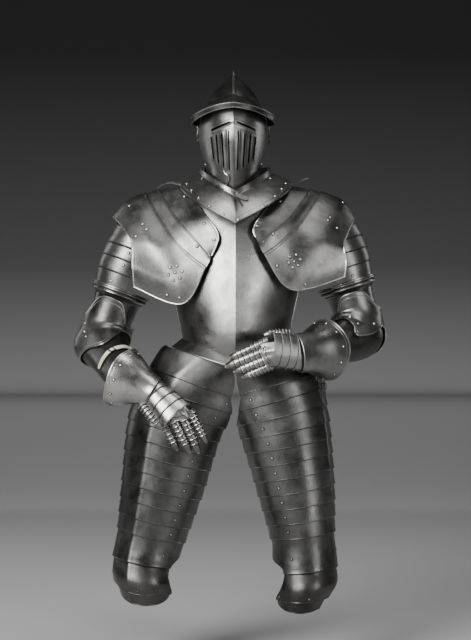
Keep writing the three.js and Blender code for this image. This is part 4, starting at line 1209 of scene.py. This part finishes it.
def leg_turn(leg, u, drop, outer=104):
    """The turn round the leg at u, in degrees: below 0 on the inside of the leg, 0 in front."""
    inner = leg["section"](drop)[5]
    return np.where(u < INSIDE, lerp(-inner, 0, u / INSIDE), lerp(0, outer, (u - INSIDE) / (1 - INSIDE)))


def leg_form(leg, start, end, outer=104, rise=0.0, rounding=0.0):
    def form(u, v):
        turn = leg_turn(leg, u, lerp(start, end, v), outer)
        drop = lerp(start, end - rise * ramp(10, 100, turn), v) - rounding * v * ((turn - 4) / 90) ** 2
        return leg_point(leg, turn * DEG, drop)

    return form


def tassets(leg):
    """The lames from the flange to the knee."""
    name, out, long = leg["name"], -leg["side"], np.linspace(0, 1, 80)
    edges = [423 + 36.8 * i for i in range(12)] + [leg["knee"]]
    heads, shade_lines = [], []
    for i in range(12):
        start, end = edges[i] - LAP, edges[i + 1]
        stand = 4.8 if i < 3 else 4.0
        rows = 10 if i < 11 else 20
        lame = Plate(leg_form(leg, start, end), 63, rows, lift=lambda u, v, stand=stand: stand * v, out=out)
        parts = [lame.mesh(), lame.bead(long, 1, -0.7, 1.4)]
        piece(f"{name}_tasset_{i + 1}", parts, "leg", cad=f"{name}_tasset_lame_{i + 1}")
        # A near-black tube of painted shade in the gap under each lame's lower edge.
        shade_lines.append(lame.bead(long, 1, -2.9, 1.5))
        if i:
            inside = INSIDE * (1 - leg["row"] / leg["section"]((start + end) / 2)[5])
            heads += rivets(lame, [(max(inside, 0.05), 0.62), (0.96, 0.6)], 3.3, 2.6)
    piece(f"{name}_tasset_rivets", heads, "steel")
    piece(f"{name}_tasset_shade_lines", shade_lines, "gap_shade")


def knee(leg):
    """The knee plate and the narrow lame under it."""
    name, out, long = leg["name"], -leg["side"], np.linspace(0, 1, 80)
    form = leg_form(leg, leg["knee"] - LAP, leg["knee"] + 70, rise=leg["rise"])
    cap = Plate(form, 70, 34, lift=lambda u, v: STEP * v - 2.8 * (1 - v) ** 3, out=out)
    parts = [cap.mesh(), cap.bead(long, 0, -0.4, 1.4), cap.bead(long, 1, -0.7, 1.6)]
    parts += [cap.bead(at, np.linspace(0, 1, 40), -0.7, 1.6) for at in (0, 1)]
    piece(f"{name}_knee", parts, "dark", cad=f"{name}_poleyn")
    form = leg_form(leg, leg["knee"] + 60, leg["knee"] + 100, outer=92, rounding=20)
    foot = Plate(form, 60, 16, lift=-1.8, out=out)
    parts = [foot.mesh(), foot.bead(long, 1, -0.7, 1.6)]
    piece(f"{name}_knee_foot", parts, "dark", cad=f"{name}_poleyn_foot")
    heads = rivets(cap, [(0.06, 0.12), (0.06, 0.86), (0.5, 0.9), (0.93, 0.3), (0.93, 0.8)], 3.0, 2.0)
    piece(f"{name}_knee_rivets", heads, "steel")


def hip_straps():
    """Two narrow straps that hang from the flange on the wearer's left, over the outside of the leg."""
    t = np.linspace(0, 3, 24)
    for i, (shift, end) in enumerate(((0, -541), (9, -520))):
        route = np.array([(206, -92, -440), (208, -96, -470), (210, -96, -505), (213, -94, end)], float)
        strap = ribbon(through(route + vec(shift, 0, 0), t), vec(0.75, -0.65, 0), 6.5, 2.4)
        piece(f"hip_strap_{i + 1}", [strap], "black")
    frame = [vec(x, -100, z) for x, z in ((202, -455), (221, -455), (221, -467), (202, -467))]
    piece("hip_strap_buckle", [tube(frame, 1.5, closed=True)], "dark")


# ------------------------------------------------------------------ build
helmet()
gorget()
cuirass()
for arm in ARMS:
    pauldron(arm)
    arm_lames(arm)
    upper_cannon(arm)
    couter(arm)
    lower_cannon(arm)
    cuff(arm)
    gauntlet_fingers(arm, hand(arm))
for leg in LEGS:
    tassets(leg)
    knee(leg)
hip_straps()
# The rings of painted shade round all the rivets.
piece("rivet_shade_rings", RIVET_SHADE, "gap_shade")


# ------------------------------------------------------------------ studio
def paper():
    """Pale paper on the floor, with painted shade that darkens it towards the top of the backdrop."""
    material = bpy.data.materials.new("paper_painted_shade")
    material.use_nodes = True
    nodes, links = material.node_tree.nodes, material.node_tree.links
    place, split = nodes.new("ShaderNodeTexCoord"), nodes.new("ShaderNodeSeparateXYZ")
    scale, shade = nodes.new("ShaderNodeMapRange"), nodes.new("ShaderNodeValToRGB")
    links.new(place.outputs["Object"], split.inputs["Vector"])
    links.new(split.outputs["Z"], scale.inputs["Value"])
    scale.inputs["From Min"].default_value, scale.inputs["From Max"].default_value = -1.15, 1.15
    links.new(scale.outputs["Result"], shade.inputs["Fac"])
    # Painted shade: pale on the floor, near black at the top of the backdrop.
    ends = shade.color_ramp.elements
    ends[0].color, ends[1].color = (0.42, 0.42, 0.42, 1), (0.014, 0.014, 0.014, 1)
    ends.new(0.5).color = (0.085, 0.085, 0.085, 1)
    shader = nodes["Principled BSDF"]
    links.new(shade.outputs["Color"], shader.inputs["Base Color"])
    shader.inputs["Roughness"].default_value = 0.9
    return material


def sweep():
    """A pale floor that curves up into a backdrop."""
    path = [(-4.8, -1.14), (1.8, -1.14), (3.2, -1.08), (4.2, -0.75), (4.6, -0.1), (4.7, 4.2)]
    path = through(np.array([(0, y, z) for y, z in path]), np.linspace(0, 5, 60))
    verts = [(x, p[1], p[2]) for p in path for x in (-5.0, 5.0)]
    faces = [(2 * i, 2 * i + 1, 2 * i + 3, 2 * i + 2) for i in range(len(path) - 1)]
    mesh = bpy.data.meshes.new("studio_floor")
    mesh.from_pydata(verts, [], faces)
    mesh.polygons.foreach_set("use_smooth", [True] * len(mesh.polygons))
    floor = bpy.data.objects.new("studio_floor", mesh)
    bpy.context.scene.collection.objects.link(floor)
    mesh.materials.append(paper())


def softbox(name, place, aim, wide, tall, power):
    """A rectangular light at place that faces aim."""
    light = bpy.data.lights.new(name, "AREA")
    light.shape, light.size, light.size_y, light.energy = "RECTANGLE", wide, tall, power
    obj = bpy.data.objects.new(name, light)
    obj.location = place
    obj.rotation_euler = (Vector(aim) - Vector(place)).to_track_quat("-Z", "Y").to_euler()
    bpy.context.scene.collection.objects.link(obj)


sweep()
softbox("key", (-2.0, -2.6, 1.0), (0, 0, -0.2), 1.5, 2.4, 215)
softbox("fill", (2.2, -2.4, 0.2), (0, 0, -0.4), 0.7, 2.4, 38)
softbox("top", (0.3, -0.9, 2.6), (0, 0, 0), 1.8, 1.2, 45)
softbox("rim_left", (-2.4, 1.4, 0.6), (0, 0, -0.3), 0.5, 2.2, 10)
softbox("rim_right", (2.4, 1.4, 0.6), (0, 0, -0.3), 0.5, 2.2, 10)
world = bpy.data.worlds.new("studio")
world.use_nodes = True
world.node_tree.nodes["Background"].inputs["Color"].default_value = (0.5, 0.5, 0.5, 1)
world.node_tree.nodes["Background"].inputs["Strength"].default_value = 0.16
bpy.context.scene.world = world

lens = bpy.data.cameras.new("camera")
lens.sensor_width, lens.lens = 36, 90
camera = bpy.data.objects.new("camera", lens)
camera.location = (0, -4.0, -0.3)
camera.rotation_euler = (90 * DEG, 0, 0)
bpy.context.scene.collection.objects.link(camera)
bpy.context.scene.camera = camera
